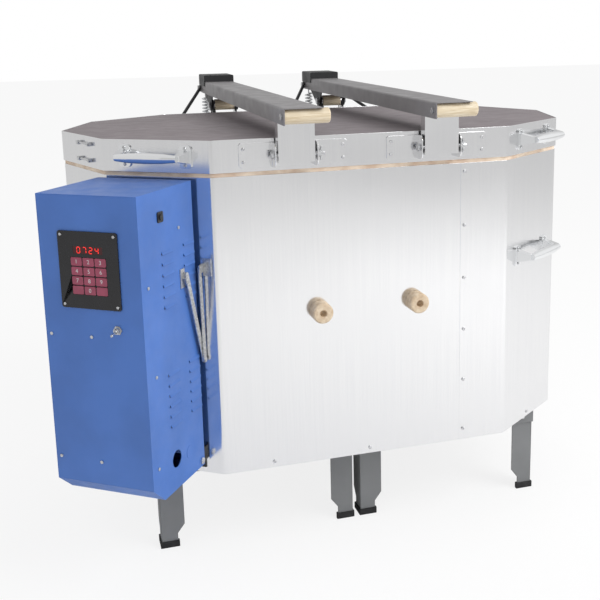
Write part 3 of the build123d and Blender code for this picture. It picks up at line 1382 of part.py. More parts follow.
def make_stay_box_link():
    x0 = stay_planes()[0]
    link = make_link((STAY_BOX_OUT, STAY_BOX_Z), (STAY_ELBOW_OUT, STAY_ELBOW_Z), x0)
    link -= rod_x(RIVET_RADIUS + RUNNING_CLEARANCE, x0 - 1, x0 + STAY_T + 1,
                  -STAY_BOX_OUT, STAY_BOX_Z)
    link += rod_x(RIVET_HEAD_RADIUS, x0 - RIVET_HEAD_T, x0, -STAY_ELBOW_OUT, STAY_ELBOW_Z)
    return FRONT_LEFT * link


def make_stay_wall_link():
    x0 = stay_planes()[1]
    link = make_link((STAY_WALL_OUT, STAY_WALL_Z), (STAY_ELBOW_OUT, STAY_ELBOW_Z), x0)
    link -= rod_x(RIVET_RADIUS + RUNNING_CLEARANCE, x0 - 1, x0 + STAY_T + 1,
                  -STAY_WALL_OUT, STAY_WALL_Z)
    link += rod_x(RIVET_HEAD_RADIUS, x0 + STAY_T, x0 + STAY_T + RIVET_HEAD_T,
                  -STAY_ELBOW_OUT, STAY_ELBOW_Z)
    return FRONT_LEFT * link


def make_stay_box_bracket():
    """Offset bracket on the box's right side with the box link's rivet."""
    link = stay_planes()[0]
    x0 = BOX_RIGHT
    y, z = -STAY_BOX_OUT, STAY_BOX_Z
    base = block(x0, x0 + BRACKET_T, y - 14, y + 2, z - 24, z + 14)
    step = block(x0 + BRACKET_T, link - STAY_GAP, y - 6, y + 2, z - 6, z + 6)
    rivet = rod_x(RIVET_RADIUS, link - STAY_GAP, link + STAY_T + STAY_GAP / 2, y, z)
    return FRONT_LEFT * (base + step + rivet)


def make_stay_wall_bracket():
    """Angle on the jacket with the wall link's rivet."""
    link, ear = stay_planes()[1:]
    y, z = -STAY_WALL_OUT, STAY_WALL_Z
    ear_plate = block(ear, ear + BRACKET_T, y - 8, 0, z - 9, z + 9)
    leaf = block(ear, ear + 18, -BRACKET_T, 0, z - 18, z + 18)
    rivet = rod_x(RIVET_RADIUS, link - STAY_GAP / 2, ear + BRACKET_T, y, z)
    head = rod_x(RIVET_HEAD_RADIUS, ear + BRACKET_T, ear + BRACKET_T + RIVET_HEAD_T, y, z)
    return FRONT_LEFT * (ear_plate + leaf + rivet + head)


def stay_angles(tilt_deg):
    """Angles of the wall link and the box link, in out and height, at a tilt of the box."""
    tilt = math.radians(tilt_deg)
    pivot = (BOX_PIVOT_OUT, BOX_PIVOT_Z)
    out, up = STAY_BOX_OUT - pivot[0], STAY_BOX_Z - pivot[1]
    knee = (pivot[0] + out * math.cos(tilt) + up * math.sin(tilt),
            pivot[1] - out * math.sin(tilt) + up * math.cos(tilt))
    wall_length = math.dist((STAY_WALL_OUT, STAY_WALL_Z), (STAY_ELBOW_OUT, STAY_ELBOW_Z))
    box_length = math.dist((STAY_BOX_OUT, STAY_BOX_Z), (STAY_ELBOW_OUT, STAY_ELBOW_Z))
    dx, dz = knee[0] - STAY_WALL_OUT, knee[1] - STAY_WALL_Z
    reach = math.hypot(dx, dz)
    at_wall = math.acos((wall_length**2 + reach**2 - box_length**2) / (2 * wall_length * reach))
    wall_angle = math.atan2(dz, dx) - at_wall
    elbow = (STAY_WALL_OUT + wall_length * math.cos(wall_angle),
             STAY_WALL_Z + wall_length * math.sin(wall_angle))
    box_angle = math.atan2(elbow[1] - knee[1], elbow[0] - knee[0]) + tilt
    return math.degrees(wall_angle), math.degrees(box_angle)


def spring_lean_deg():
    """How far a spring leans when the lid is fully open."""
    y, z = open_spring_pin()
    return math.degrees(math.atan2(SPRING_PIN_Y - y, z - SPRING_FOOT_Z))


def spring_kept():
    """The share of its length that a spring keeps when the lid is fully open."""
    y, z = open_spring_pin()
    return math.hypot(SPRING_PIN_Y - y, z - SPRING_FOOT_Z) / SPRING_LENGTH


def open_spring_pin():
    """Depth and height of a spring pin when the lid is fully open."""
    turn = math.radians(ARM_SLOPE - LID_OPEN_DEG)
    y = SPRING_LEVER * math.cos(turn) - SPRING_PIN_OVER_PIVOT * math.sin(turn)
    z = SPRING_LEVER * math.sin(turn) + SPRING_PIN_OVER_PIVOT * math.cos(turn)
    return PIVOT_Y + y, PIVOT_Z + z


def make_body_fasteners():
    """Every screw and bolt head on the fixed body."""
    screws = make_jacket_screws() + handle_screws(FRONT_RIGHT, BODY_HANDLE_Z)
    return screws + make_stand_bolts() + make_post_bolts()


def build_nodes():
    """Every node by name, in the plan-centred frame."""
    nodes = {
        "base_pan": make_base_pan(),
        "floor_slab": make_floor_slab(),
        "jacket": make_jacket(),
        "body_fasteners": make_body_fasteners(),
        "heating_elements": make_elements(),
        "element_bushes": make_bushes(),
        "element_terminals": make_terminals(),
        "thermocouple": make_thermocouple(),
        "foot_caps": make_caps(),
        "lid_slab": make_lid_slab(),
        "lid_top_sheet": make_lid_sheet(),
        "lid_band": make_lid_band(),
        "lid_band_clamps": make_band_clamps(),
        "lid_handles": make_lid_handles(),
        "body_handle": make_body_handle(),
        "lid_grips": make_grips(),
        "arm_saddles": make_cheeks() + make_tail_caps(),
        "hinge_braces": make_braces(),
        "arm_bolts": make_arm_bolts() + make_hanger_bolts(),
        "lid_hinge_leaves": make_rear_brackets(),
        "hinge_rollers": make_rollers(),
        "lid_front_brackets": make_front_brackets(),
        "lid_hangers": make_hangers(),
        "lid_screws": make_lid_screws(),
        "hinge_posts": [make_post(x) for x in ARM_NAMES.values()],
        "hinge_bolts": make_hinge_bolts(),
        "spring_anchors": make_spring_anchors(),
        "box_front": make_front(),
        "box_chassis": make_chassis(),
        "box_side_left": make_side(-1),
        "box_side_right": make_side(1),
        "box_hinge_brackets": make_box_hinges(),
        "keypad_bezel": make_keypad(),
        "keypad_keys": make_keys(),
        "display_window": make_display(),
        "toggle_switch_base": make_toggle_base(),
        "toggle_switch_lever": make_toggle_lever(),
        "fuse_carrier": make_fuse(),
        "power_relays": make_relays(),
        "control_transformer": make_transformer(),
        "power_terminal_block": make_terminal_block(),
        "controller_board": make_board(),
        "box_screws": make_box_screws() + make_box_hinge_bolts(),
        "stay_box_bracket": make_stay_box_bracket(),
        "stay_wall_bracket": make_stay_wall_bracket(),
        "stay_box_link": make_stay_box_link(),
        "stay_wall_link": make_stay_wall_link(),
    }
    nodes.update(make_courses())
    for side, span in stand_spans().items():
        nodes["stand_" + side] = make_stand(span)
    for side, x in ARM_NAMES.items():
        nodes["lid_arm_" + side] = make_arm(x)
        nodes["lid_spring_" + side] = make_spring(x)
    for side, x in (("left", -PEEP_X), ("right", PEEP_X)):
        nodes["peephole_plug_" + side] = make_plug(x)
    return nodes


def solids_of(piece):
    """Every solid of a node, which may be one shape or a list of shapes."""
    if isinstance(piece, list):
        return [solid for item in piece for solid in item.solids()]
    return list(piece.solids())


def main():
    """Build every node, move the whole to its box centre on the floor, and write it."""
    nodes = {name: solids_of(piece) for name, piece in build_nodes().items()}
    boxes = [solid.bounding_box() for solids in nodes.values() for solid in solids]
    low_x = min(box.min.X for box in boxes)
    high_x = max(box.max.X for box in boxes)
    low_y = min(box.min.Y for box in boxes)
    high_y = max(box.max.Y for box in boxes)
    low_z = min(box.min.Z for box in boxes)
    shift = Pos(-(low_x + high_x) / 2, -(low_y + high_y) / 2, -low_z)
    os.makedirs("parts", exist_ok=True)
    for name, solids in nodes.items():
        moved = [shift * solid for solid in solids]
        export_step(moved[0] if len(moved) == 1 else Compound(moved), "parts/%s.step" % name)
    return shift, nodes


SHIFT, NODES = main()
print("nodes", len(NODES))
print("shift", SHIFT.position)
print("spring lean", round(spring_lean_deg(), 3))
print("stay angles", stay_angles(0), stay_angles(BOX_TILT_DEG))
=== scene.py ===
import json
import math

import bpy
from mathutils import Matrix, Vector


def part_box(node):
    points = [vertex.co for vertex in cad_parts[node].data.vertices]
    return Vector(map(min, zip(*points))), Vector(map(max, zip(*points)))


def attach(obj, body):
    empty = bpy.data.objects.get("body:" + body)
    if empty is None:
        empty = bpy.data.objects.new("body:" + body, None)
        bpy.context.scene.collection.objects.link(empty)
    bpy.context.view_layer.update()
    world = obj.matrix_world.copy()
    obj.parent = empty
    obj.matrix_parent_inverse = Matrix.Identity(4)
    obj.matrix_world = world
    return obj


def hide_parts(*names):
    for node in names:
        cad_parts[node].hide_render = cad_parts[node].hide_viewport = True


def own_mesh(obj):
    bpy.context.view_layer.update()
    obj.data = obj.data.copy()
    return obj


# An oval top-loading electric kiln: bright stainless wrap, grey lid with two spring-balanced
# arms, angle-iron stands and a blue control box on the front-left face. Metres, Z up.

PHOTO_PIXELS = 600
FOCAL_PIXELS = 931.8
AXIS_PIXEL_X = 336.5
AXIS_PIXEL_Y = 229.7
SENSOR_MM = 36.0
CAMERA_YAW_DEG = 16.676
CAMERA_DOWN_DEG = 11.459
CAMERA_ROLL_DEG = -1.117
CAMERA_X = -0.5808
CAMERA_Y = -2.2011
CAMERA_Z = 1.092

# Springs: their size, wire, pitch, hooks and eyes, and how finely they are wound
SPRING_OUTER = 0.012
SPRING_WIRE = 0.0045
SPRING_PITCH = 0.009
SPRING_HOOK = 0.026
SPRING_EYE = 0.0043
WIRE_SIDES = 8
COIL_STEPS = 20

# Small edge rounding of sheet and bar
SHEET_EDGE = 0.0005
BAR_EDGE = 0.001
SMOOTH_DEG = 28.0
BEVEL_OVER_SMOOTH_DEG = 4
MERGE_DISTANCE = 0.00002
FLAT_DEG = 0.5

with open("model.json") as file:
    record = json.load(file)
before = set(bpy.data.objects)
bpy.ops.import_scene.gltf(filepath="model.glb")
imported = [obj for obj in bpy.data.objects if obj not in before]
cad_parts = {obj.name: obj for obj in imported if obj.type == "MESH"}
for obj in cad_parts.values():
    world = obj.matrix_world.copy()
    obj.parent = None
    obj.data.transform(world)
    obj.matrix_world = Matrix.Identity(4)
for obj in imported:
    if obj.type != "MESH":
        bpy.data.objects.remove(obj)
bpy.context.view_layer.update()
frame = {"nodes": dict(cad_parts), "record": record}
RECORD = frame["record"]
NODES = frame["nodes"]
SLOT_OF = {part["node"]: part["material_slot"] for part in RECORD["subparts"]}
BODY_OF = {node: body for body, nodes in RECORD["behaviour"]["bodies"].items() for node in nodes}


# Materials: colours are linear, and a noise's value mostly lies between these two levels

NOISE_LOW = 0.3
NOISE_HIGH = 0.7


def principled(name, colour, metallic=0.0, roughness=0.5):
    """A new material and its shader, with the plain values set."""
    material = bpy.data.materials.new(name)
    material.use_nodes = True
    shader = material.node_tree.nodes["Principled BSDF"]
    shader.inputs["Base Color"].default_value = (*colour, 1)
    shader.inputs["Metallic"].default_value = metallic
    shader.inputs["Roughness"].default_value = roughness
    return material, shader


def object_pattern(material, stretch=(1, 1, 1)):
    """Object coordinates with a stretch, for any pattern."""
    nodes = material.node_tree.nodes
    place = nodes.new("ShaderNodeTexCoord")
    mapping = nodes.new("ShaderNodeMapping")
    mapping.inputs["Scale"].default_value = stretch
    material.node_tree.links.new(place.outputs["Object"], mapping.inputs["Vector"])
    return mapping.outputs["Vector"]


def noise(material, scale, detail=3.0, stretch=(1, 1, 1), rough=0.5):
    """The value of a noise over the object."""
    texture = material.node_tree.nodes.new("ShaderNodeTexNoise")
    texture.inputs["Scale"].default_value = scale
    texture.inputs["Detail"].default_value = detail
    texture.inputs["Roughness"].default_value = rough
    material.node_tree.links.new(object_pattern(material, stretch), texture.inputs["Vector"])
    return texture.outputs["Fac"]


def two_tones(material, shader, value, low, high, start=0.35, end=0.65):
    """Base colour that moves between two tones with a pattern's value."""
    ramp = material.node_tree.nodes.new("ShaderNodeValToRGB")
    ramp.color_ramp.elements[0].position = start
    ramp.color_ramp.elements[0].color = (*low, 1)
    ramp.color_ramp.elements[1].position = end
    ramp.color_ramp.elements[1].color = (*high, 1)
    material.node_tree.links.new(value, ramp.inputs["Fac"])
    material.node_tree.links.new(ramp.outputs["Color"], shader.inputs["Base Color"])
    return ramp


def uneven_gloss(material, shader, value, low, high):
    """Roughness that moves between two levels with a pattern's value."""
    spread = material.node_tree.nodes.new("ShaderNodeMapRange")
    spread.inputs["From Min"].default_value = NOISE_LOW
    spread.inputs["From Max"].default_value = NOISE_HIGH
    spread.inputs["To Min"].default_value = low
    spread.inputs["To Max"].default_value = high
    material.node_tree.links.new(value, spread.inputs["Value"])
    material.node_tree.links.new(spread.outputs["Result"], shader.inputs["Roughness"])


def relief(material, shader, value, height, strength=1.0):
    """Small relief of a surface from a pattern's value, height in metres."""
    bump = material.node_tree.nodes.new("ShaderNodeBump")
    bump.inputs["Distance"].default_value = height
    bump.inputs["Strength"].default_value = strength
    material.node_tree.links.new(value, bump.inputs["Height"])
    material.node_tree.links.new(bump.outputs["Normal"], shader.inputs["Normal"])


def tint(colour, factor):
    return tuple(min(1.0, channel * factor) for channel in colour)


def bright_sheet():
    """Bright rolled stainless, with faint vertical rolling lines and slow waves."""
    material, shader = principled("bright_stainless", (0.90, 0.89, 0.88), 1.0, 0.16)
    rolling = noise(material, 4.0, 3.0, (90, 90, 1))
    two_tones(material, shader, rolling, (0.80, 0.80, 0.81), (0.83, 0.83, 0.835))
    uneven_gloss(material, shader, noise(material, 6.0, 3.0), 0.13, 0.2)
    relief(material, shader, noise(material, 2.2, 1.0, (1, 1, 0.5)), 0.004)
    return material


def zinc():
    """Zinc plated steel with a mottled dull shine."""
    material, shader = principled("zinc_plate", (0.56, 0.57, 0.58), 1.0, 0.38)
    spangle = noise(material, 220.0, 2.0)
    two_tones(material, shader, spangle, (0.46, 0.46, 0.47), (0.68, 0.69, 0.70))
    uneven_gloss(material, shader, noise(material, 70.0, 3.0), 0.26, 0.48)
    return material


def spring_wire():
    material, shader = principled("spring_wire", (0.66, 0.67, 0.68), 1.0, 0.28)
    two_tones(material, shader, noise(material, 90.0, 2.0), (0.56, 0.57, 0.58), (0.78, 0.79, 0.8))
    uneven_gloss(material, shader, noise(material, 40.0, 3.0), 0.2, 0.38)
    return material


def enamel(name, colour, low_gloss, high_gloss, peel=0.00012):
    """Sprayed enamel with a fine orange peel and slow changes of tone."""
    material, shader = principled(name, colour, 0.0, 0.5)
    two_tones(material, shader, noise(material, 9.0, 4.0), tint(colour, 0.93), tint(colour, 1.07))
    uneven_gloss(material, shader, noise(material, 30.0, 3.0), low_gloss, high_gloss)
    relief(material, shader, noise(material, 900.0, 2.0), peel)
    return material


def arm_enamel():
    return enamel("arm_grey", (0.215, 0.205, 0.210), 0.34, 0.5)


def stand_enamel():
    return enamel("stand_grey", (0.20, 0.205, 0.21), 0.36, 0.55)


def black_enamel():
    return enamel("black_coat", (0.012, 0.012, 0.014), 0.4, 0.6)


def lid_enamel():
    return enamel("lid_top_grey", (0.225, 0.195, 0.205), 0.55, 0.75, 0.0002)


def box_enamel():
    return enamel("box_blue", (0.062, 0.165, 0.50), 0.36, 0.5)


def polished_chrome():
    material, shader = principled("polished_chrome", (0.84, 0.85, 0.86), 1.0, 0.08)
    uneven_gloss(material, shader, noise(material, 50.0, 3.0), 0.04, 0.14)
    return material


def firebrick():
    """Soft insulating firebrick: cream, open pored and slightly stained."""
    material, shader = principled("firebrick", (0.80, 0.66, 0.52), 0.0, 0.95)
    two_tones(material, shader, noise(material, 25.0, 5.0), (0.66, 0.50, 0.38),
              (0.86, 0.74, 0.60))
    relief(material, shader, noise(material, 420.0, 4.0, rough=0.7), 0.0012)
    return material


def element_wire():
    material, shader = principled("element_wire", (0.16, 0.15, 0.15), 1.0, 0.6)
    two_tones(material, shader, noise(material, 160.0, 3.0), (0.10, 0.09, 0.09),
              (0.26, 0.24, 0.23))
    return material


def porcelain():
    material, shader = principled("porcelain", (0.82, 0.80, 0.75), 0.0, 0.5)
    two_tones(material, shader, noise(material, 120.0, 3.0), (0.76, 0.73, 0.67),
              (0.86, 0.84, 0.80))
    return material


def brass():
    material, shader = principled("brass_clamp", (0.70, 0.52, 0.24), 1.0, 0.3)
    two_tones(material, shader, noise(material, 150.0, 3.0), (0.58, 0.42, 0.18),
              (0.78, 0.60, 0.30))
    return material


def fireclay():
    """Tan fireclay of the peephole plugs, sandy and darker in its pores."""
    material, shader = principled("fireclay", (0.66, 0.52, 0.37), 0.0, 0.85)
    two_tones(material, shader, noise(material, 90.0, 5.0, rough=0.6), (0.56, 0.42, 0.28),
              (0.76, 0.63, 0.47))
    relief(material, shader, noise(material, 700.0, 3.0), 0.0005)
    return material


def turned_wood():
    """Sealed pale hardwood with its grain along the grip."""
    material, shader = principled("turned_wood", (0.72, 0.60, 0.42), 0.0, 0.45)
    two_tones(material, shader, noise(material, 30.0, 4.0, (1, 14, 14)), (0.62, 0.50, 0.33),
              (0.80, 0.70, 0.53))
    uneven_gloss(material, shader, noise(material, 60.0, 3.0, (1, 8, 8)), 0.36, 0.55)
    return material


def boot_rubber():
    material, shader = principled("boot_rubber", (0.014, 0.014, 0.015), 0.0, 0.75)
    two_tones(material, shader, noise(material, 60.0, 4.0), (0.010, 0.010, 0.011),
              (0.022, 0.022, 0.023))
    relief(material, shader, noise(material, 800.0, 2.0), 0.0002)
    return material


def moulded(name, colour, low_gloss=0.35, high_gloss=0.5):
    """Moulded plastic with a fine grain."""
    material, shader = principled(name, colour, 0.0, 0.4)
    two_tones(material, shader, noise(material, 40.0, 3.0), tint(colour, 0.9), tint(colour, 1.12))
    uneven_gloss(material, shader, noise(material, 90.0, 3.0), low_gloss, high_gloss)
    relief(material, shader, noise(material, 1500.0, 2.0), 0.00008)
    return material


def bezel_film():
    return moulded("bezel_film", (0.010, 0.010, 0.012), 0.22, 0.34)


def key_film():
    return moulded("key_film", (0.30, 0.055, 0.10), 0.3, 0.42)


def display_glass():
    """Dark red tinted window over the digits."""
    material, shader = principled("display_glass", (0.05, 0.002, 0.004), 0.0, 0.1)
    two_tones(material, shader, noise(material, 50.0, 2.0), (0.045, 0.002, 0.003),
              (0.06, 0.003, 0.005))
    return material


def black_plastic():
    return moulded("black_plastic", (0.015, 0.015, 0.017))


def varnished_core():
    return enamel("varnished_core", (0.11, 0.085, 0.05), 0.4, 0.6)


def circuit_board():
    return moulded("circuit_board", (0.012, 0.10, 0.035), 0.25, 0.4)


FINISHES = {
    "stainless_band": bright_sheet,
    "zinc_fastener": zinc,
    "spring_steel": spring_wire,
    "arm_paint": arm_enamel,
    "stand_paint": stand_enamel,
    "black_paint": black_enamel,
    "lid_top_paint": lid_enamel,
    "chrome_handle": polished_chrome,
    "firebrick": firebrick,
    "element_wire": element_wire,
    "white_ceramic": porcelain,
    "brass_terminal": brass,
    "thermocouple_ceramic": porcelain,
    "tan_ceramic": fireclay,
    "cream_wood": turned_wood,
    "rubber_foot": boot_rubber,
    "box_blue": box_enamel,
    "keypad_black": bezel_film,
    "key_film": key_film,
    "display_red": display_glass,
    "black_plastic": black_plastic,
    "transformer_steel": varnished_core,
    "board_green": circuit_board,
}
MADE = {}


def material_of(slot):
    """The finish of a slot, made once."""
    if slot not in MADE:
        MADE[slot] = FINISHES[slot]()
    return MADE[slot]


def paint_with(piece, material):
    piece.data.materials.clear()
    piece.data.materials.append(material)


def paint(piece, slot):
    paint_with(piece, material_of(slot))


# Pieces

def deselect():
    for piece in bpy.context.selected_objects:
        piece.select_set(False)


def make_active(piece):
    deselect()
    piece.select_set(True)
    bpy.context.view_layer.objects.active = piece


def settle(piece, name, slot, body):
    """Put a finished piece's place in its mesh, name it, finish it and let it ride."""
    make_active(piece)
    bpy.ops.object.transform_apply(location=True, rotation=True, scale=True)
    piece.name = name
    piece.data.name = name
    paint(piece, slot)
    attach(piece, body)
    return piece


def dress_node(node, edge, slot=None):
    """A CAD node's form with its doubles merged, its edges eased and its curves smooth."""
    source = NODES[node]
    piece = bpy.data.objects.new(node + "_dressed", source.data.copy())
    bpy.context.scene.collection.objects.link(piece)
    make_active(piece)
    bpy.ops.object.mode_set(mode="EDIT")
    bpy.ops.mesh.select_all(action="SELECT")
    bpy.ops.mesh.remove_doubles(threshold=MERGE_DISTANCE)
    bpy.ops.mesh.dissolve_limited(angle_limit=math.radians(FLAT_DEG))
    bpy.ops.object.mode_set(mode="OBJECT")
    bevel = piece.modifiers.new("eased_edges", "BEVEL")
    bevel.width = edge
    bevel.segments = 2
    bevel.limit_method = "ANGLE"
    bevel.angle_limit = math.radians(SMOOTH_DEG + BEVEL_OVER_SMOOTH_DEG)
    bevel.harden_normals = True
    bpy.ops.object.modifier_apply(modifier=bevel.name)
    bpy.ops.object.shade_smooth_by_angle(angle=math.radians(SMOOTH_DEG))
    flats = piece.modifiers.new("even_flats", "WEIGHTED_NORMAL")
    flats.keep_sharp = True
    flats.weight = 100
    bpy.ops.object.modifier_apply(modifier=flats.name)
    paint(piece, slot or SLOT_OF[node])
    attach(piece, BODY_OF[node])
    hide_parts(node)
    return piece


SHEET_NODES = ["jacket", "lid_band", "lid_top_sheet", "box_front", "box_chassis",
               "box_side_left", "box_side_right", "lid_hangers", "lid_front_brackets",
               "lid_hinge_leaves", "keypad_bezel", "keypad_keys", "stay_box_bracket",
               "stay_wall_bracket", "stay_box_link", "stay_wall_link"]
BAR_NODES = ["lid_arm_left", "lid_arm_right", "arm_saddles", "hinge_posts", "hinge_braces",
             "spring_anchors", "stand_left", "stand_right", "foot_caps", "lid_grips",
             "hinge_rollers", "peephole_plug_left", "peephole_plug_right", "lid_handles",
             "body_handle", "fuse_carrier", "arm_bolts", "hinge_bolts", "body_fasteners",
             "lid_screws", "box_screws", "toggle_switch_base", "toggle_switch_lever",
             "lid_band_clamps", "power_relays", "power_terminal_block", "control_transformer"]
BRIGHT_NODES = ("lid_hangers", "lid_front_brackets", "lid_hinge_leaves")


def dress_nodes():
    for node in SHEET_NODES:
        slot = "stainless_band" if node in BRIGHT_NODES else None
        dress_node(node, SHEET_EDGE, slot)
    for node in BAR_NODES:
        dress_node(node, BAR_EDGE)
    for node, piece in NODES.items():
        paint(piece, SLOT_OF[node])


def make_spring(side):
    """A wound extension spring in place of its plain CAD form."""
    node = "lid_spring_" + side
    low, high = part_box(node)
    centre = (low + high) / 2
    eye = SPRING_EYE + SPRING_WIRE
    foot = low.z + eye
    top = high.z - eye
    radius = SPRING_OUTER - SPRING_WIRE / 2
    coil_height = top - foot - 2 * SPRING_HOOK
    turns = math.floor(coil_height / SPRING_PITCH)
    bpy.ops.mesh.primitive_circle_add(
        vertices=WIRE_SIDES, radius=SPRING_WIRE / 2, fill_type="NGON",
        location=(radius, 0, foot + SPRING_HOOK), rotation=(math.pi / 2, 0, 0))
    coil = bpy.context.active_object
    bpy.ops.object.transform_apply(location=True, rotation=True, scale=True)
    wind = coil.modifiers.new("winding", "SCREW")
    wind.steps = COIL_STEPS
    wind.render_steps = COIL_STEPS
    wind.iterations = turns
    wind.screw_offset = coil_height / turns
    bpy.ops.object.modifier_apply(modifier=wind.name)
    bpy.ops.object.shade_smooth()
    pieces = [coil]
    for z, turn in ((foot, 0.0), (top, math.pi)):
        bpy.ops.mesh.primitive_torus_add(
            major_radius=SPRING_EYE + SPRING_WIRE / 2, minor_radius=SPRING_WIRE / 2,
            major_segments=COIL_STEPS, minor_segments=WIRE_SIDES, location=(0, 0, z),
            rotation=(0, math.pi / 2, 0))
        pieces.append(bpy.context.active_object)
        sign = 1 if turn == 0.0 else -1
        start = z + sign * SPRING_EYE
        bpy.ops.mesh.primitive_cylinder_add(
            vertices=WIRE_SIDES, radius=SPRING_WIRE / 2, depth=SPRING_HOOK - SPRING_EYE,
            location=(0, 0, start + sign * (SPRING_HOOK - SPRING_EYE) / 2))
        pieces.append(bpy.context.active_object)
        bpy.ops.mesh.primitive_cylinder_add(
            vertices=WIRE_SIDES, radius=SPRING_WIRE / 2, depth=radius,
            location=(radius / 2, 0, z + sign * SPRING_HOOK), rotation=(0, math.pi / 2, 0))
        pieces.append(bpy.context.active_object)
    spring = join_all(pieces)
    spring.location = (centre.x, centre.y, 0)
    settle(spring, "wound_spring_" + side, "spring_steel", "spring_" + side)
    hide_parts(node)
    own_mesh(spring)
    return spring


# Printing on the keypad: plain numbers and the lit digits

BOX_TURN_DEG = -36.0
KEY_FACE = 0.0029 / 2
KEY_PITCH_X = 0.0254
KEY_PITCH_Z = 0.018
NUMBER_SIZE = 0.011
DIGIT_HEIGHT = 0.011
DIGIT_WIDTH = 0.0065
DIGIT_BAR = 0.0013
DIGIT_PITCH = 0.013
DIGITS_OUT = 0.00095
PRINT_PROUD = 0.0001
KEY_COLUMNS = 3
KEY_ROWS = 4
KEY_NUMBERS = ("1", "2", "3", "4", "5", "6", "7", "8", "9", "", "0", "")
DIGIT_BARS = {"0": "abcdef", "2": "abged", "4": "fgbc", "7": "abc", "8": "abcdefg"}
SHOWN = "0724"


def keypad_place(node):
    """The middle of a keypad node, turned so that X runs along it and -Y points out."""
    low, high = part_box(node)
    return Matrix.Translation((low + high) / 2) @ Matrix.Rotation(math.radians(BOX_TURN_DEG), 4, "Z")


def printed_white():
    material, shader = principled("printed_white", (0.62, 0.58, 0.60), 0.0, 0.4)
    uneven_gloss(material, shader, noise(material, 200.0, 2.0), 0.3, 0.45)
    return material


def lit_red():
    """Glowing digits behind the dark red window."""
    material, shader = principled("lit_red", (0.85, 0.02, 0.02), 0.0, 0.3)
    glow = noise(material, 300.0, 2.0)
    two_tones(material, shader, glow, (0.80, 0.015, 0.015), (0.95, 0.04, 0.03))
    shader.inputs["Emission Color"].default_value = (1.0, 0.03, 0.02, 1)
    shader.inputs["Emission Strength"].default_value = 0.9
    return material


def join_all(pieces):
    deselect()
    for piece in pieces:
        piece.select_set(True)
    bpy.context.view_layer.objects.active = pieces[0]
    bpy.ops.object.join()
    return bpy.context.active_object


def make_key_numbers():
    """Plain numbers printed on the keys."""
    numbers = []
    for index, number in enumerate(KEY_NUMBERS):
        if not number:
            continue
        deselect()
        row, column = divmod(index, KEY_COLUMNS)
        bpy.ops.object.text_add(rotation=(math.pi / 2, 0, 0))
        text = bpy.context.active_object
        text.data.body = number
        text.data.size = NUMBER_SIZE
        text.data.align_x = "CENTER"
        text.data.align_y = "CENTER"
        text.data.extrude = PRINT_PROUD / 2
        text.location = ((column - (KEY_COLUMNS - 1) / 2) * KEY_PITCH_X, -KEY_FACE - PRINT_PROUD,
                         ((KEY_ROWS - 1) / 2 - row) * KEY_PITCH_Z)
        bpy.ops.object.convert(target="MESH")
        bpy.ops.object.transform_apply(location=True, rotation=True, scale=True)
        numbers.append(bpy.context.active_object)
    piece = join_all(numbers)
    piece.matrix_world = keypad_place("keypad_keys")
    settle(piece, "key_numbers", "key_film", "control_box")
    paint_with(piece, printed_white())


def digit_bar(x, z, width, height):
    """One lit bar: a thin tile with eased corners."""
    deselect()
    bpy.ops.mesh.primitive_cube_add(size=1, location=(x, 0, z), scale=(width, PRINT_PROUD, height))
    bar = bpy.context.active_object
    bpy.ops.object.transform_apply(location=True, rotation=True, scale=True)
    ease = bar.modifiers.new("eased", "BEVEL")
    ease.width = DIGIT_BAR * 0.3
    ease.segments = 2
    bpy.ops.object.modifier_apply(modifier=ease.name)
    return bar


def make_digits():
    """Seven-bar digits that stand just in front of the display window."""
    half_w, half_h = DIGIT_WIDTH / 2, DIGIT_HEIGHT / 2
    gap = DIGIT_BAR * 0.6
    across = (DIGIT_WIDTH - 2 * gap, DIGIT_BAR)
    upright = (DIGIT_BAR, half_h - 2 * gap)
    places = {"a": (0, half_h, *across), "g": (0, 0, *across), "d": (0, -half_h, *across),
              "f": (-half_w, half_h / 2, *upright), "b": (half_w, half_h / 2, *upright),
              "e": (-half_w, -half_h / 2, *upright), "c": (half_w, -half_h / 2, *upright)}
    bars = []
    for index, shown in enumerate(SHOWN):
        middle = (index - (len(SHOWN) - 1) / 2) * DIGIT_PITCH
        for name in DIGIT_BARS[shown]:
            x, z, width, height = places[name]
            bars.append(digit_bar(middle + x, z, width, height))
    piece = join_all(bars)
    piece.matrix_world = keypad_place("display_window") @ Matrix.Translation((0, -DIGITS_OUT, 0))
    settle(piece, "lit_digits", "display_red", "control_box")
    paint_with(piece, lit_red())


# Stage

# How white the camera sees the floor, over its own shaded colour
FLOOR_WHITE = 0.82
FLOOR_SIZE = 60.0
ROOM_LEVEL = 0.72
LAMP_WATTS = 90
LAMP_SIZE = (2.6, 2.0)
LAMP_PLACE = (2.4, -2.4, 3.0)
LAMP_AIM = Vector((0, 0, 0.5))


def make_floor():
    bpy.ops.mesh.primitive_plane_add(size=FLOOR_SIZE, location=(0, 0, 0))
    floor = bpy.context.active_object
    floor.name = "pale_floor"
    material, shader = principled("pale_floor", (0.93, 0.93, 0.93), 0.0, 0.9)
    shader.inputs["Specular IOR Level"].default_value = 0.0
    nodes, links = material.node_tree.nodes, material.node_tree.links
    white = nodes.new("ShaderNodeEmission")
    white.inputs["Color"].default_value = (1, 1, 1, 1)
    ray = nodes.new("ShaderNodeLightPath")
    share = nodes.new("ShaderNodeMath")
    share.operation = "MULTIPLY"
    share.inputs[1].default_value = FLOOR_WHITE
    links.new(ray.outputs["Is Camera Ray"], share.inputs[0])
    blend = nodes.new("ShaderNodeMixShader")
    links.new(share.outputs["Value"], blend.inputs["Fac"])
    links.new(shader.outputs["BSDF"], blend.inputs[1])
    links.new(white.outputs["Emission"], blend.inputs[2])
    links.new(blend.outputs["Shader"], nodes["Material Output"].inputs["Surface"])
    floor.data.materials.append(material)


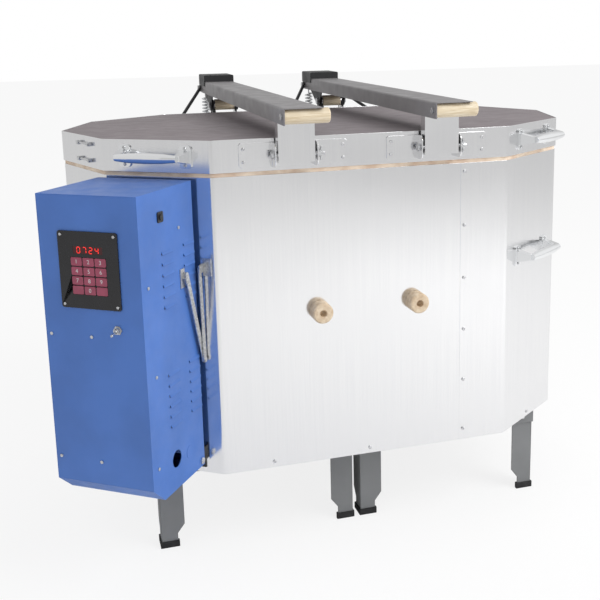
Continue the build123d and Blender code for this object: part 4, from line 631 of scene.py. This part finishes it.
# Direction in degrees round the object, and how bright the studio is there in reflections
STUDIO_BANDS = [(-180, 0.75), (-152, 0.75), (-146, 0.55), (-136, 0.85), (-128, 0.35),
                (-120, 0.75), (-112, 0.10), (-98, 0.12), (-92, 0.8), (-60, 0.95), (-48, 0.62),
                (-38, 0.62), (-30, 1.0), (20, 0.95), (60, 0.6), (120, 0.8), (180, 0.75)]


def light_studio():
    """A white room whose reflections have a few dark upright bands, and one soft lamp."""
    world = bpy.data.worlds.new("studio")
    bpy.context.scene.world = world
    world.use_nodes = True
    nodes, links = world.node_tree.nodes, world.node_tree.links
    nodes.clear()
    place = nodes.new("ShaderNodeTexCoord")
    parts = nodes.new("ShaderNodeSeparateXYZ")
    links.new(place.outputs["Generated"], parts.inputs["Vector"])
    turn = nodes.new("ShaderNodeMath")
    turn.operation = "ARCTAN2"
    links.new(parts.outputs["Y"], turn.inputs[0])
    links.new(parts.outputs["X"], turn.inputs[1])
    spread = nodes.new("ShaderNodeMapRange")
    spread.inputs["From Min"].default_value = -math.pi
    spread.inputs["From Max"].default_value = math.pi
    links.new(turn.outputs["Value"], spread.inputs["Value"])
    ramp = nodes.new("ShaderNodeValToRGB")
    bands = ramp.color_ramp.elements
    while len(bands) < len(STUDIO_BANDS):
        bands.new(0.5)
    for element, (degrees, level) in zip(bands, STUDIO_BANDS):
        element.position = (degrees + 180) / 360
        element.color = (level, level, level, 1)
    links.new(spread.outputs["Result"], ramp.inputs["Fac"])
    shiny = nodes.new("ShaderNodeBackground")
    links.new(ramp.outputs["Color"], shiny.inputs["Color"])
    plain = nodes.new("ShaderNodeBackground")
    plain.inputs["Color"].default_value = (1, 1, 1, 1)
    plain.inputs["Strength"].default_value = ROOM_LEVEL
    seen = nodes.new("ShaderNodeBackground")
    seen.inputs["Color"].default_value = (1, 1, 1, 1)
    ray = nodes.new("ShaderNodeLightPath")
    glossy = nodes.new("ShaderNodeMixShader")
    links.new(ray.outputs["Is Glossy Ray"], glossy.inputs["Fac"])
    links.new(plain.outputs["Background"], glossy.inputs[1])
    links.new(shiny.outputs["Background"], glossy.inputs[2])
    camera = nodes.new("ShaderNodeMixShader")
    links.new(ray.outputs["Is Camera Ray"], camera.inputs["Fac"])
    links.new(glossy.outputs["Shader"], camera.inputs[1])
    links.new(seen.outputs["Background"], camera.inputs[2])
    output = nodes.new("ShaderNodeOutputWorld")
    links.new(camera.outputs["Shader"], output.inputs["Surface"])

    lamp = bpy.data.objects.new("soft_lamp", bpy.data.lights.new("soft_lamp", "AREA"))
    lamp.data.energy = LAMP_WATTS
    lamp.data.shape = "RECTANGLE"
    lamp.data.size, lamp.data.size_y = LAMP_SIZE
    lamp.location = LAMP_PLACE
    aim = LAMP_AIM - lamp.location
    lamp.rotation_euler = aim.to_track_quat("-Z", "Y").to_euler()
    bpy.context.scene.collection.objects.link(lamp)


def place_camera():
    """The camera at the photograph's view."""
    data = bpy.data.cameras.new("photo_view")
    data.sensor_width = SENSOR_MM
    data.lens = SENSOR_MM * FOCAL_PIXELS / PHOTO_PIXELS
    data.shift_x = (PHOTO_PIXELS / 2 - AXIS_PIXEL_X) / PHOTO_PIXELS
    data.shift_y = (AXIS_PIXEL_Y - PHOTO_PIXELS / 2) / PHOTO_PIXELS
    camera = bpy.data.objects.new("photo_view", data)
    camera.matrix_world = (
        Matrix.Translation((CAMERA_X, CAMERA_Y, CAMERA_Z))
        @ Matrix.Rotation(math.radians(-CAMERA_YAW_DEG), 4, "Z")
        @ Matrix.Rotation(math.radians(90 - CAMERA_DOWN_DEG), 4, "X")
        @ Matrix.Rotation(math.radians(CAMERA_ROLL_DEG), 4, "Z"))
    bpy.context.scene.collection.objects.link(camera)
    bpy.context.scene.camera = camera


dress_nodes()
for side in ("left", "right"):
    make_spring(side)
make_key_numbers()
make_digits()
make_floor()
light_studio()
place_camera()
bpy.context.scene.view_settings.view_transform = "Standard"
